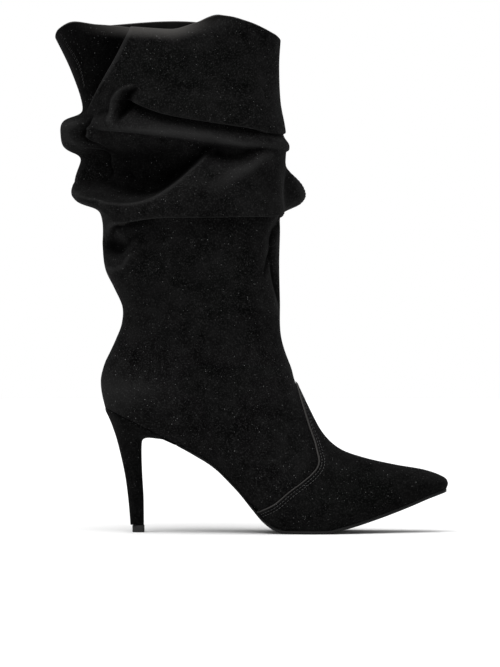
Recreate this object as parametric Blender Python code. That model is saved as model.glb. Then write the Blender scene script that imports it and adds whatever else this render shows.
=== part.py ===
"""Slouch boot with a stiletto heel: a right boot standing on its heel tip and forefoot.

Metres, +Z up, +X towards the toe. The outer (lateral) side faces -Y, the inner (medial) side +Y.
The origin is on the floor, at the centre of the heel tip's flat.

The upper is one tube. Its rings run round it from the feather line, where it meets the sole, up to the
collar, and each is placed by its back point, its front point and its half widths. The folds of the
slack shaft are ridges and troughs laid over that tube along paths of their own.
"""
import bpy
import numpy as np

# Driving sizes
BOOT_LENGTH = 0.2428        # back of the seat to the toe tip, along the floor
SEAT_BACK = 0.0238          # centre of the heel tip to the back of the seat
HEEL_HEIGHT = 0.0890        # floor to the back of the seat
TOE_SPRING = 0.0310         # floor to the feather line at the toe tip
SHAFT_HEIGHT = 0.2760       # back of the seat to the collar
BALL_WIDTH = 0.0780         # lasted foot at the ball
SHAFT_WIDTH = 0.0900        # slack shaft, side to side
WALL = 0.0018               # suede and lining together
VAMP_THICKNESS = 0.0011     # suede of the overlaid vamp
SOLE_THICKNESS = 0.0025
INSOLE_THICKNESS = 0.0030
LIFT_HEIGHT = 0.0050
LIFT_LENGTH = 0.0086
LIFT_WIDTH = 0.0090
CLEARANCE = 0.0003          # gap between two pieces that meet

# The feather line in side view: along the boot, and its height above the sole's thickness as shares of
# the heel height and of the toe spring. Two zero rows at the ball make the flat that rests.
FEATHER_LINE = (
    # along, of heel height, of toe spring
    (0.000, 1.000, 0.000),
    (0.098, 0.865, 0.000),
    (0.210, 0.705, 0.000),
    (0.255, 0.644, 0.000),
    (0.290, 0.590, 0.000),
    (0.325, 0.520, 0.000),
    (0.360, 0.424, 0.000),
    (0.395, 0.318, 0.000),
    (0.430, 0.195, 0.000),
    (0.465, 0.084, 0.000),
    (0.498, 0.022, 0.000),
    (0.530, 0.000, 0.000),
    (0.640, 0.000, 0.000),
    (0.702, 0.000, 0.110),
    (0.804, 0.000, 0.375),
    (0.892, 0.000, 0.650),
    (0.950, 0.000, 0.850),
    (1.000, 0.000, 1.000),
)

# Rings of the upper, from the feather line to the collar. Back and front points: along is a share of
# the boot length, up a share of the shaft height above the seat (back) or of the collar's height above
# the feather line's toe (front). Heel to tip are half widths at five stations along the ring, as shares
# of the ball width. Round is the share of the ring's length taken by its rounded end, and arch how far
# the ring follows the feather line's drop between its ends.
RINGS = (
    # back along, up, front along, up, heel, waist, ball, toe, tip, round back, front, arch
    (0.000, 0.000, 1.000, 0.000, 0.333, 0.269, 0.481, 0.308, 0.103, 0.10, 0.035, 1.00),
    (-0.006, 0.022, 1.004, 0.012, 0.365, 0.346, 0.513, 0.340, 0.122, 0.11, 0.040, 0.97),
    (-0.011, 0.047, 0.990, 0.025, 0.385, 0.397, 0.513, 0.346, 0.154, 0.12, 0.070, 0.90),
    (-0.012, 0.072, 0.934, 0.040, 0.391, 0.429, 0.494, 0.353, 0.205, 0.14, 0.140, 0.80),
    (-0.007, 0.094, 0.848, 0.051, 0.391, 0.442, 0.474, 0.372, 0.256, 0.16, 0.240, 0.68),
    (0.002, 0.118, 0.757, 0.066, 0.385, 0.449, 0.474, 0.397, 0.295, 0.20, 0.320, 0.52),
    (0.017, 0.145, 0.687, 0.085, 0.378, 0.455, 0.474, 0.423, 0.333, 0.26, 0.400, 0.37),
    (0.034, 0.178, 0.638, 0.118, 0.372, 0.462, 0.481, 0.436, 0.359, 0.32, 0.440, 0.24),
    (0.049, 0.214, 0.598, 0.171, 0.385, 0.468, 0.487, 0.449, 0.378, 0.38, 0.460, 0.13),
    (0.051, 0.257, 0.553, 0.243, 0.417, 0.481, 0.494, 0.474, 0.436, 0.44, 0.480, 0.05),
    (0.028, 0.304, 0.516, 0.320, 0.474, 0.487, 0.494, 0.487, 0.474, 0.50, 0.500, 0.00),
    (0.001, 0.355, 0.512, 0.401, 0.500, 0.506, 0.506, 0.506, 0.500, 0.50, 0.500, 0.00),
    (-0.007, 0.417, 0.510, 0.476, 0.526, 0.526, 0.526, 0.526, 0.526, 0.50, 0.500, 0.00),
    (-0.007, 0.475, 0.512, 0.539, 0.545, 0.545, 0.545, 0.545, 0.545, 0.50, 0.500, 0.00),
    (-0.026, 0.547, 0.514, 0.602, 0.564, 0.564, 0.564, 0.564, 0.564, 0.50, 0.500, 0.00),
    (-0.054, 0.627, 0.526, 0.674, 0.571, 0.571, 0.571, 0.571, 0.571, 0.50, 0.500, 0.00),
    (-0.071, 0.707, 0.530, 0.751, 0.571, 0.571, 0.571, 0.571, 0.571, 0.50, 0.500, 0.00),
    (-0.067, 0.779, 0.514, 0.823, 0.564, 0.564, 0.564, 0.564, 0.564, 0.50, 0.500, 0.00),
    (-0.100, 0.873, 0.510, 0.901, 0.558, 0.558, 0.558, 0.558, 0.558, 0.50, 0.500, 0.00),
    (-0.145, 0.965, 0.514, 0.958, 0.558, 0.558, 0.558, 0.558, 0.558, 0.50, 0.500, 0.00),
)
WIDTH_STATIONS = (0.10, 0.38, 0.62, 0.82, 1.00)
END_POWER = 2.2             # how square the rounded ends are
FRONT_CROWD = 0.5           # how far the columns of the foot crowd towards the toe
HALF_STEPS = 241
SOLE_SWING = (
    # along a ring, shift towards the medial side as a share of the ball width
    (0.00, 0.000),
    (0.38, -0.038),
    (0.62, 0.000),
    (0.85, 0.045),
    (1.00, 0.064),
)

# Folds of the slack shaft. Rise is outwards, above and below are the reach of the slope on either side
# of the path (all shares of the shaft's width), lean how far a ridge hangs down over what is below it,
# power how flat its top is. Each path point is degrees round from the back by way of the outer side,
# height as a share of the shaft above the seat, and the share of the fold's full size there.
FOLDS = (
    # rise, above, below, lean, power, path
    # Crease under the smooth upper panel
    (-0.185, 0.026, 0.070, 0.70, 2.0, ((45, 0.776, 0.1), (51, 0.768, 0.8), (58, 0.754, 1.0), (76, 0.729, 1.0),
        (102, 0.711, 1.0), (134, 0.697, 0.75), (160, 0.692, 0.12), (205, 0.708, 0.3), (245, 0.738, 0.9),
        (285, 0.752, 0.7), (315, 0.742, 0.1))),
    # Pocket at the crease's end, sharp against the curled lip
    (-0.105, 0.075, 0.018, 0.00, 2.0, ((62, 0.812, 0.1), (53, 0.800, 0.8), (48, 0.778, 1.0), (46, 0.752, 0.9),
        (48, 0.732, 0.2))),
    # Thin lip that curls round the crease's end
    (0.030, 0.016, 0.026, 0.00, 2.0, ((43, 0.722, 0.2), (41, 0.750, 0.9), (43, 0.782, 1.0), (50, 0.808, 0.8),
        (61, 0.822, 0.2))),
    # Roll below that crease
    (0.072, 0.062, 0.066, 0.50, 4.0, ((12, 0.718, 0.1), (24, 0.724, 0.4), (40, 0.728, 0.9), (58, 0.723, 1.0), (78, 0.710, 1.0),
        (102, 0.697, 1.0), (126, 0.685, 0.9), (150, 0.678, 0.6), (175, 0.672, 0.3), (210, 0.680, 0.8),
        (250, 0.698, 0.8), (300, 0.712, 0.2))),
    # Deep hollow
    (-0.230, 0.170, 0.170, 0.00, 3.0, ((2, 0.628, 0.1), (14, 0.622, 0.7), (30, 0.612, 1.0), (48, 0.607, 1.0),
        (68, 0.611, 1.0), (86, 0.624, 0.8), (100, 0.642, 0.5), (112, 0.658, 0.2))),
    # Its lower bend, sharp where it meets the lip under it
    (-0.150, 0.100, 0.022, 0.00, 2.5, ((4, 0.590, 0.1), (14, 0.573, 0.7), (28, 0.555, 1.0), (46, 0.548, 1.0),
        (66, 0.558, 1.0), (84, 0.590, 0.8), (98, 0.628, 0.5), (110, 0.664, 0.1))),
    # Bend inside the hollow
    (-0.070, 0.090, 0.050, 0.00, 2.5, ((12, 0.550, 0.3), (13, 0.580, 1.0), (13, 0.640, 1.0), (12, 0.670, 0.3))),
    # Sharp lip under the hollow
    (0.105, 0.024, 0.110, -0.40, 1.5, ((0, 0.583, 0.2), (12, 0.555, 0.8), (26, 0.532, 1.0), (46, 0.523, 1.0),
        (66, 0.534, 1.0), (84, 0.566, 0.9), (98, 0.606, 0.7), (108, 0.645, 0.2))),
    # Wide fold with a sharp lower edge
    (0.085, 0.180, 0.026, 0.75, 2.0, ((16, 0.440, 0.1), (23, 0.460, 0.4), (34, 0.479, 0.75), (52, 0.492, 0.95),
        (76, 0.502, 1.0), (114, 0.505, 1.0), (150, 0.506, 0.9), (178, 0.504, 0.4), (205, 0.490, 0.2))),
    # Its upper body, rising to the front
    (0.060, 0.080, 0.100, 0.20, 2.0, ((96, 0.560, 0.2), (116, 0.595, 0.8), (134, 0.625, 1.0), (152, 0.645, 0.5),
        (166, 0.655, 0.1))),
    # Pointed fold on the inner side of the front
    (0.280, 0.065, 0.090, 0.10, 1.4, ((186, 0.605, 0.2), (193, 0.582, 0.7), (200, 0.556, 1.0), (208, 0.532, 0.9),
        (230, 0.505, 0.2))),
    # Roll at the back
    (0.160, 0.125, 0.150, 0.00, 4.0, ((-45, 0.715, 0.2), (-20, 0.708, 0.8), (2, 0.704, 1.0), (14, 0.700, 0.9),
        (26, 0.694, 0.2))),
    # Curl inside that roll
    (-0.100, 0.040, 0.040, 0.00, 2.0, ((24, 0.735, 0.2), (20, 0.715, 0.9), (18, 0.690, 1.0), (24, 0.672, 0.2))),
    # Finger below it
    (0.145, 0.230, 0.105, 0.00, 3.0, ((-40, 0.566, 0.1), (-12, 0.564, 0.9), (2, 0.557, 1.0), (12, 0.545, 0.9),
        (28, 0.522, 0.2))),
    # Edge where the outer panel folds in before the back
    (-0.220, 0.180, 0.018, -0.10, 1.6, ((16, 0.766, 0.1), (30, 0.820, 0.4), (43, 0.872, 0.7), (54, 0.922, 0.9),
        (62, 0.964, 1.0), (68, 1.015, 1.0))),
    # Oval dimple at the back
    (-0.085, 0.110, 0.060, 0.00, 2.2, ((8, 0.420, 0.3), (17, 0.408, 1.0), (30, 0.404, 1.0), (40, 0.418, 0.4))),
    # Rim of that dimple
    (0.022, 0.020, 0.034, 0.00, 2.0, ((8, 0.376, 0.3), (20, 0.356, 1.0), (34, 0.360, 1.0), (43, 0.388, 0.8),
        (50, 0.394, 0.2))),
    # Step along the lower front
    (-0.060, 0.030, 0.120, 0.00, 2.0, ((182, 0.480, 0.3), (168, 0.440, 1.0), (166, 0.400, 1.0), (169, 0.330, 0.8),
        (176, 0.260, 0.2))),
    # Branch of that step
    (-0.030, 0.025, 0.060, 0.00, 2.0, ((166, 0.388, 0.3), (160, 0.372, 1.0), (153, 0.345, 0.9), (150, 0.325, 0.1))),
    # Folds of the inner side: a wide one with a sharp lower edge, the hollow over it, a roll and a crease
    (0.090, 0.150, 0.028, 0.70, 2.0, ((212, 0.505, 0.2), (238, 0.500, 0.9), (275, 0.515, 1.0), (312, 0.548, 0.9),
        (345, 0.575, 0.2))),
    (-0.160, 0.070, 0.060, 0.30, 2.4, ((212, 0.610, 0.2), (242, 0.598, 0.9), (278, 0.612, 1.0), (312, 0.640, 0.8),
        (338, 0.655, 0.2))),
    (0.050, 0.060, 0.040, 0.40, 2.0, ((205, 0.655, 0.2), (240, 0.648, 1.0), (280, 0.660, 1.0), (318, 0.682, 0.2))),
    (-0.070, 0.035, 0.070, 0.40, 2.0, ((232, 0.395, 0.1), (258, 0.410, 0.9), (290, 0.432, 1.0), (322, 0.440, 0.7),
        (344, 0.425, 0.1))),
    # Soft hollow between the roll and the wide fold
    (-0.115, 0.066, 0.074, 0.00, 2.0, ((100, 0.664, 0.2), (110, 0.654, 0.8), (120, 0.642, 1.0), (130, 0.642, 0.8),
        (140, 0.658, 0.4), (150, 0.668, 0.1))),
    # Inward turn of the outer rim
    (-0.055, 0.080, 0.060, 0.00, 2.0, ((30, 0.985, 0.2), (48, 0.978, 1.0), (80, 0.970, 1.0), (112, 0.982, 1.0),
        (130, 1.005, 0.3))),
)
TURN_RUN = 0.0111           # run round the shaft of one degree, as a share of the shaft width
COLLAR_WAVE = (
    # degrees round, rise of the rim as a share of the shaft height
    (0, -0.022),
    (14, 0.004),
    (28, 0.022),
    (42, 0.012),
    (66, 0.009),
    (92, 0.005),
    (108, 0.029),
    (124, 0.060),
    (142, 0.042),
    (165, 0.004),
    (180, -0.012),
    (215, 0.030),
    (260, 0.060),
    (310, 0.034),
    (360, -0.022),
)
COLLAR_REACH = 0.30         # how far down the shaft the rim's wave is felt, as a share of its height
VAMP_EDGE = (
    # ring position, degrees round from the back
    (0.00, 61.8),
    (0.80, 65.0),
    (1.50, 69.2),
    (2.28, 76.4),
    (2.78, 83.2),
    (3.22, 90.4),
    (3.72, 100.6),
    (4.28, 116.4),
    (4.62, 126.2),
    (5.00, 134.8),
    (5.50, 143.0),
    (6.43, 155.2),
    (7.22, 161.2),
    (7.82, 164.5),
    (8.31, 168.0),
    (8.60, 172.0),
    (8.80, 177.0),
)
VAMP_EASE = 0.16            # run over which the wall rises beyond the vamp, as a share of the ball width

# Sections of the heel from the seat down to the tip. Back and front points: along the boot from the
# back of the seat, as a share of the heel height, and up as a share of it; half width as a share of
# the ball width; power of its front, from round to square.
HEEL_SECTIONS = (
    # back along, up, front along, up, half width, front power
    (0.002, 0.994, 0.572, 0.709, 0.331, 7.0),
    (0.006, 0.968, 0.572, 0.697, 0.325, 7.0),
    (0.024, 0.930, 0.487, 0.736, 0.305, 6.0),
    (0.038, 0.899, 0.413, 0.748, 0.277, 5.0),
    (0.054, 0.860, 0.346, 0.753, 0.241, 4.5),
    (0.076, 0.798, 0.303, 0.737, 0.190, 4.0),
    (0.096, 0.734, 0.293, 0.685, 0.151, 4.0),
    (0.132, 0.590, 0.294, 0.562, 0.106, 4.0),
    (0.163, 0.438, 0.300, 0.427, 0.082, 4.0),
    (0.185, 0.270, 0.309, 0.270, 0.068, 4.0),
    (0.204, 0.060, 0.311, 0.060, 0.060, 4.0),
)
HEEL_BACK_POWER = 2.1
SEAT_FRONT = 0.572          # front edge of the heel's lip, from the back of the seat in heel heights

# Grids of the solids
SIDE_COLUMNS = 26
VAMP_COLUMNS = 12
ROWS_BELOW_TOP = (0, 0.5, 1, 2, 3, 4, 5, 6, 7, 7.82, 8.31, 8.6, 8.8)
ROWS_ABOVE = (
    # from ring, to ring, rows
    (9.3, 13.0, 6),
    (13.3, 17.6, 20),
    (17.9, 19.0, 4),
)
HEEL_POINTS = 24
SOLE_STEPS = 3              # stations of the outsole for each column of the upper


def smooth(rows, at):
    """Cubic curve through evenly spaced rows, at positions counted in rows."""
    rows = np.asarray(rows, float)
    at = np.clip(at, 0, len(rows) - 1)
    low = np.minimum(at.astype(int), len(rows) - 2)
    part = (at - low)[:, None]
    before = rows[np.maximum(low - 1, 0)]
    start = rows[low]
    end = rows[low + 1]
    after = rows[np.minimum(low + 2, len(rows) - 1)]
    leave = (end - before) / 2
    arrive = (after - start) / 2
    return (
        start * (2 * part**3 - 3 * part**2 + 1)
        + leave * (part**3 - 2 * part**2 + part)
        + end * (3 * part**2 - 2 * part**3)
        + arrive * (part**3 - part**2)
    )


def curve(stations, values, at):
    """Cubic curve through values at uneven stations, with no overshoot between them."""
    stations = np.asarray(stations, float)
    values = np.asarray(values, float)
    rises = np.diff(values) / np.diff(stations)
    slopes = np.zeros(len(values))
    before, after = rises[:-1], rises[1:]
    turning = before * after <= 0
    total = np.where(turning, 1, before + after)
    slopes[1:-1] = np.where(turning, 0, 2 * before * after / total)
    slopes[0], slopes[-1] = rises[0], rises[-1]
    at = np.clip(at, stations[0], stations[-1])
    low = np.clip(np.searchsorted(stations, at, side="right") - 1, 0, len(stations) - 2)
    span = stations[low + 1] - stations[low]
    part = (at - stations[low]) / span
    return (
        values[low] * (2 * part**3 - 3 * part**2 + 1)
        + slopes[low] * span * (part**3 - 2 * part**2 + part)
        + values[low + 1] * (3 * part**2 - 2 * part**3)
        + slopes[low + 1] * span * (part**3 - part**2)
    )


def feather_height(along):
    """Height of the feather line at a share of the boot's length."""
    table = np.array(FEATHER_LINE)
    seat = curve(table[:, 0], table[:, 1], along) * (HEEL_HEIGHT - SOLE_THICKNESS)
    toe = curve(table[:, 0], table[:, 2], along) * (TOE_SPRING - SOLE_THICKNESS)
    return SOLE_THICKNESS + seat + toe


def ring_half(row, part):
    """One side of a ring, at shares of its length: points on the boot's plane and half widths."""
    back_x, back_z, front_x, front_z = row[:4]
    widths = row[4:9] * BALL_WIDTH
    round_back, round_front, arch = row[9:]
    start = np.array([back_x * BOOT_LENGTH - SEAT_BACK, HEEL_HEIGHT + back_z * SHAFT_HEIGHT])
    collar = HEEL_HEIGHT + SHAFT_HEIGHT
    end = np.array([front_x * BOOT_LENGTH - SEAT_BACK, TOE_SPRING + front_z * (collar - TOE_SPRING)])
    line = start + part[:, None] * (end - start)
    sag = feather_height(part) - (HEEL_HEIGHT + part * (TOE_SPRING - HEEL_HEIGHT))
    back = np.clip(1 - part / round_back, 0, 1)
    front = np.clip(1 - (1 - part) / round_front, 0, 1)
    ends = (1 - back**END_POWER) ** (1 / END_POWER) * (1 - front**END_POWER) ** (1 / END_POWER)
    half = curve(WIDTH_STATIONS, widths, part) * ends
    swing = np.array(SOLE_SWING)
    shift = curve(swing[:, 0], swing[:, 1], part) * BALL_WIDTH * arch
    return line[:, 0], line[:, 1] + sag * arch, half, shift


def form(around, rows):
    """Grid of points on the bare form, at turn shares (a row of them for each ring position)."""
    table = smooth(RINGS, np.asarray(rows, float))
    part = (1 - np.cos(np.linspace(0, np.pi, HALF_STEPS))) / 2
    around = np.broadcast_to(np.asarray(around) % 1, (len(table), np.shape(around)[-1]))
    grid = np.empty(around.shape + (3,))
    for index, row in enumerate(table):
        x, z, half, shift = ring_half(row, part)
        outer = around[index] <= 0.5
        halfway = np.where(outer, around[index], 1 - around[index]) * 2
        reach = halfway + FRONT_CROWD * row[11] * np.sin(np.pi * halfway) / np.pi
        for side, chosen in ((-1, outer), (1, ~outer)):
            y = side * half + shift
            steps = np.sqrt(np.diff(x) ** 2 + np.diff(y) ** 2 + np.diff(z) ** 2)
            run = np.concatenate([[0], np.cumsum(steps)])
            at = reach[chosen] * run[-1]
            for axis, line in enumerate((x, y, z)):
                grid[index, chosen, axis] = np.interp(at, run, line)
    return grid


def fold_lines(path):
    """A fold's path as short steps on the unrolled shaft: starts, steps and sizes at both ends."""
    path = np.array(path, float)
    fine = smooth(path, np.linspace(0, len(path) - 1, 12 * (len(path) - 1) + 1))
    run = fine[:, 0] * TURN_RUN * SHAFT_WIDTH
    rise = fine[:, 1] * SHAFT_HEIGHT
    points = np.stack([run, rise], axis=1)
    return points[:-1], np.diff(points, axis=0), fine[:, 2]


def fold_shift(degrees, height, fold):
    """How far one fold moves each place outwards, and the direction up across its path."""
    rise, above, below, _, power, path = fold
    starts, steps, sizes = fold_lines(path)
    lengths = np.linalg.norm(steps, axis=1)
    whole_turn = 360 * TURN_RUN * SHAFT_WIDTH
    run = degrees * TURN_RUN * SHAFT_WIDTH
    best = np.full(run.shape, np.inf)
    side = np.zeros(run.shape)
    size = np.zeros(run.shape)
    across = np.zeros(run.shape + (2,))
    for index, (start, step) in enumerate(zip(starts, steps)):
        over = (run - start[0] + whole_turn / 2) % whole_turn - whole_turn / 2
        up = height - start[1]
        part = np.clip((over * step[0] + up * step[1]) / lengths[index] ** 2, 0, 1)
        off_run = over - part * step[0]
        off_up = up - part * step[1]
        away = np.hypot(off_run, off_up)
        nearer = away < best
        best = np.where(nearer, away, best)
        side = np.where(nearer, step[0] * off_up - step[1] * off_run, side)
        size = np.where(nearer, sizes[index] + part * (sizes[index + 1] - sizes[index]), size)
        across[nearer] = (-step[1] / lengths[index], step[0] / lengths[index])
    reach = np.where(side > 0, above, below) * SHAFT_WIDTH * (0.4 + 0.6 * size)
    return rise * SHAFT_WIDTH * size * np.exp(-((best / reach) ** power)), across


def directions(grid, closed):
    """Unit vectors of a grid of points: round it, up it and outwards."""
    if closed:
        turn = np.roll(grid, -1, axis=1) - np.roll(grid, 1, axis=1)
    else:
        turn = np.gradient(grid, axis=1)
    climb = np.gradient(grid, axis=0)
    turn /= np.linalg.norm(turn, axis=2, keepdims=True)
    climb /= np.linalg.norm(climb, axis=2, keepdims=True)
    out = np.cross(turn, climb)
    out /= np.linalg.norm(out, axis=2, keepdims=True)
    return turn, climb, out


def folded(around, rows, closed=True):
    """The form with the collar's wave and the folds laid over it."""
    grid = form(around, rows)
    degrees = np.broadcast_to((np.asarray(around) % 1) * 360, grid.shape[:2])
    share = (grid[..., 2] - HEEL_HEIGHT) / SHAFT_HEIGHT
    wave = np.array(COLLAR_WAVE)
    felt = np.clip(1 - (1 - share) / COLLAR_REACH, 0, 1) ** 2
    grid[..., 2] += curve(wave[:, 0], wave[:, 1], degrees) * felt * SHAFT_HEIGHT
    height = grid[..., 2] - HEEL_HEIGHT
    turn, climb, out = directions(grid, closed)
    moved = np.zeros_like(grid)
    for fold in FOLDS:
        shift, across = fold_shift(degrees, height, fold)
        hang = (fold[3] * shift)[..., None]
        moved += out * shift[..., None]
        moved -= hang * (turn * across[..., :1] + climb * across[..., 1:])
    return grid + moved


def vamp_edge(rows):
    """Turn share of the vamp's edge at each ring position, easing to even columns above the tongue."""
    edge = np.array(VAMP_EDGE)
    top = edge[-1, 0]
    even = 180 * (SIDE_COLUMNS - VAMP_COLUMNS) / SIDE_COLUMNS
    ease = np.clip((rows - top) / 2, 0, 1)
    ease = ease * ease * (3 - 2 * ease)
    return (curve(edge[:, 0], edge[:, 1], rows) * (1 - ease) + even * ease) / 360


def columns(rows):
    """Turn shares of the upper's columns, one of which follows the vamp's edge on each side."""
    edge = vamp_edge(rows)[:, None]
    behind = np.linspace(0, 1, SIDE_COLUMNS - VAMP_COLUMNS + 1)
    over = np.linspace(0, 1, VAMP_COLUMNS + 1)[1:]
    outer = np.concatenate([edge * behind, edge + (0.5 - edge) * over], axis=1)
    return np.concatenate([outer, 1 - outer[:, -2:0:-1]], axis=1)


def vamp_cover(grid, around, rows):
    """How far each place lies under the vamp: 1 under it, easing to 0 beyond its edge."""
    edge_rows = np.linspace(0, VAMP_EDGE[-1][0], 60)
    turns = vamp_edge(edge_rows)
    lines = form(np.stack([turns, 1 - turns], axis=1), edge_rows).reshape(-1, 3)
    away = np.full(grid.shape[:2], np.inf)
    for point in lines:
        away = np.minimum(away, np.linalg.norm(grid - point, axis=2))
    outer = np.minimum(around, 1 - around)
    below = rows[:, None] <= VAMP_EDGE[-1][0] + 1e-6
    inside = below & (outer >= vamp_edge(rows)[:, None] - 1e-6)
    ease = np.clip(1 - away / (VAMP_EASE * BALL_WIDTH), 0, 1)
    return np.where(inside, 1, ease * ease * (3 - 2 * ease))


def add_solid(name, points, faces, look):
    mesh = bpy.data.meshes.new(name)
    mesh.from_pydata([tuple(point) for point in points], [], [tuple(face) for face in faces])
    mesh.materials.append(look)
    mesh.update()
    solid = bpy.data.objects.new(name, mesh)
    bpy.context.scene.collection.objects.link(solid)
    return solid


def look_of(name, colour, roughness):
    look = bpy.data.materials.new(name)
    look.use_nodes = True
    shader = look.node_tree.nodes["Principled BSDF"]
    shader.inputs["Base Color"].default_value = (*colour, 1)
    shader.inputs["Roughness"].default_value = roughness
    return look


def strip(first, second, closed):
    """Triangles between two equal lists of point numbers."""
    faces = []
    for a, b, c, d in zip(first, np.roll(first, -1), np.roll(second, -1), second):
        faces += [(a, b, c), (a, c, d)]
    return faces if closed else faces[:-2]


def wall_faces(rows, cols, closed):
    """Faces of a wall of two grids, outer then inner, joined along their free edges."""
    outer = np.arange(rows * cols).reshape(rows, cols)
    inner = outer + rows * cols
    faces = []
    for row in range(rows - 1):
        faces += strip(outer[row], outer[row + 1], closed)
    faces += [(a + rows * cols, c + rows * cols, b + rows * cols) for a, b, c in faces]
    faces += strip(inner[0], outer[0], closed)
    faces += strip(outer[-1], inner[-1], closed)
    if not closed:
        faces += strip(outer[:, 0], inner[:, 0], False)
        faces += strip(inner[:, -1], outer[:, -1], False)
    return faces


def stack_faces(count, size):
    """Faces of a stack of closed loops, with flat ends."""
    loops = np.arange(count * size).reshape(count, size)
    faces = []
    for index in range(count - 1):
        faces += strip(loops[index], loops[index + 1], True)
    faces.append(tuple(loops[0][::-1]))
    faces.append(tuple(loops[-1]))
    return faces


def upper_walls():
    """Outer grid, inner grid and outward directions of the upper, with the form's own grid."""
    rows = [np.array(ROWS_BELOW_TOP, float)]
    rows += [np.linspace(low, high, count) for low, high, count in ROWS_ABOVE]
    rows = np.concatenate(rows)
    around = columns(rows)
    shape = folded(around, rows)
    out = directions(shape, True)[2]
    level = out[0] * (1, 1, 0)
    out[0] = level / np.linalg.norm(level, axis=1, keepdims=True)
    cover = vamp_cover(shape, around, rows)[..., None]
    outer = shape - out * cover * (VAMP_THICKNESS + CLEARANCE)
    return rows, shape, out, outer, outer - out * WALL


def build_upper(look):
    rows, shape, out, outer, inner = upper_walls()
    count, cols = outer.shape[:2]
    points = np.concatenate([outer.reshape(-1, 3), inner.reshape(-1, 3)])
    add_solid("upper", points, wall_faces(count, cols, True), look)


def build_vamp(look):
    rows, shape, out, _, _ = upper_walls()
    covered = rows <= VAMP_EDGE[-1][0] + 1e-6
    first = SIDE_COLUMNS - VAMP_COLUMNS
    last = SIDE_COLUMNS + VAMP_COLUMNS + 1
    outer = shape[covered][:, first:last]
    inner = outer - out[covered][:, first:last] * VAMP_THICKNESS
    count, cols = outer.shape[:2]
    points = np.concatenate([outer.reshape(-1, 3), inner.reshape(-1, 3)])
    add_solid("vamp", points, wall_faces(count, cols, False), look)


def plate_points(left, right, thickness):
    """Sections across a plate between the two edges of its top, as stacked loops."""
    loops = []
    for one, other, deep in zip(left, right, thickness):
        above = np.stack([other, (one + other) / 2, one])
        below = above[::-1] - (0, 0, deep)
        loops += list(below) + list(above)
    return loops


def build_outsole(look):
    turns = columns(np.array([0.0]))[0][: SIDE_COLUMNS + 1]
    rim = form(turns, [0])[0]
    start = SEAT_FRONT * HEEL_HEIGHT - SEAT_BACK + CLEARANCE
    first = np.interp(start, rim[:, 0], turns)
    count = SOLE_STEPS * int((turns > first).sum())
    steps = np.linspace(np.interp(first, turns, np.arange(SIDE_COLUMNS + 1)), SIDE_COLUMNS, count + 1)
    kept = np.interp(steps, np.arange(SIDE_COLUMNS + 1), turns)[:-1]
    edges = []
    for side in (kept, 1 - kept):
        edge = form(side, [0])[0]
        under_rim = np.interp(edge[:, 0], rim[:, 0], rim[:, 2])
        deep = edge[:, 2] - SOLE_THICKNESS
        edge[:, 2] = np.minimum(edge[:, 2], under_rim) - CLEARANCE
        edges.append((edge, deep))
    (left, left_deep), (right, right_deep) = edges
    thin = np.clip((left[:, 0] - start) / (SOLE_THICKNESS * 6), 0, 1) / 2 + 0.5
    thickness = thin * (left[:, 2] - left_deep)
    points = plate_points(left, right, thickness)
    add_solid("outsole", points, stack_faces(len(left), 6), look)


def build_insole(look):
    _, _, out, _, inner = upper_walls()
    ring = inner[0] - out[0] * CLEARANCE
    ring[:, 2] += CLEARANCE + INSOLE_THICKNESS
    left = ring[1:SIDE_COLUMNS]
    right = ring[:SIDE_COLUMNS:-1]
    points = plate_points(left, right, np.full(len(left), INSOLE_THICKNESS))
    add_solid("insole", points, stack_faces(len(left), 6), look)


def round_loop(back, front, half, power):
    """Loop with a rounded back and a squarer front, sloping from one point to the other."""
    turn = np.linspace(0, 2 * np.pi, HEEL_POINTS, endpoint=False)
    ahead = -np.cos(turn)
    side = -np.sin(turn)
    powers = np.where(ahead > 0, power, HEEL_BACK_POWER)
    grow = (np.abs(ahead) ** powers + np.abs(side) ** powers) ** (-1 / powers)
    share = (1 + ahead * grow) / 2
    x = back[0] + share * (front[0] - back[0])
    z = back[1] + share * (front[1] - back[1])
    return np.stack([x, side * grow * half, z], axis=1)


def build_heel(look):
    loops = []
    for back_x, back_z, front_x, front_z, half, power in HEEL_SECTIONS:
        back = (back_x * HEEL_HEIGHT - SEAT_BACK, back_z * HEEL_HEIGHT)
        front = (front_x * HEEL_HEIGHT - SEAT_BACK, front_z * HEEL_HEIGHT)
        loops.append(round_loop(back, front, half * BALL_WIDTH, power))
    along = (loops[0][:, 0] + SEAT_BACK) / BOOT_LENGTH
    loops[0][:, 2] = feather_height(along) - CLEARANCE
    loops[-1][:, 2] = LIFT_HEIGHT + CLEARANCE
    add_solid("heel", np.concatenate(loops[::-1]), stack_faces(len(loops), HEEL_POINTS), look)


def build_top_lift(look):
    loops = []
    for height in (0, LIFT_HEIGHT):
        loops.append(round_loop((-LIFT_LENGTH / 2, height), (LIFT_LENGTH / 2, height), LIFT_WIDTH / 2, 4))
    add_solid("top_lift", np.concatenate(loops), stack_faces(len(loops), HEEL_POINTS), look)


def main():
    for item in list(bpy.data.objects):
        bpy.data.objects.remove(item)
    suede = look_of("black_suede", (0.012, 0.012, 0.013), 0.9)
    build_upper(suede)
    build_vamp(suede)
    build_heel(suede)
    build_outsole(look_of("sole_leather", (0.03, 0.028, 0.027), 0.5))
    build_top_lift(look_of("lift_rubber", (0.06, 0.06, 0.062), 0.6))
    build_insole(look_of("lining", (0.05, 0.045, 0.04), 0.7))


if __name__ == "__main__":
    main()
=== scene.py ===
"""Slouch boot with a stiletto heel, dressed around its frame: fine suede, lining, stitches and finishes.

Metres, +Z up, +X towards the toe, the outer side facing -Y, the origin on the floor under the heel tip.
The upper is one tube with rings from the feather line to the collar. The folds of its slack shaft are
ridges and troughs laid over that tube along paths of their own, in the boot's own sizes.
"""

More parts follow.
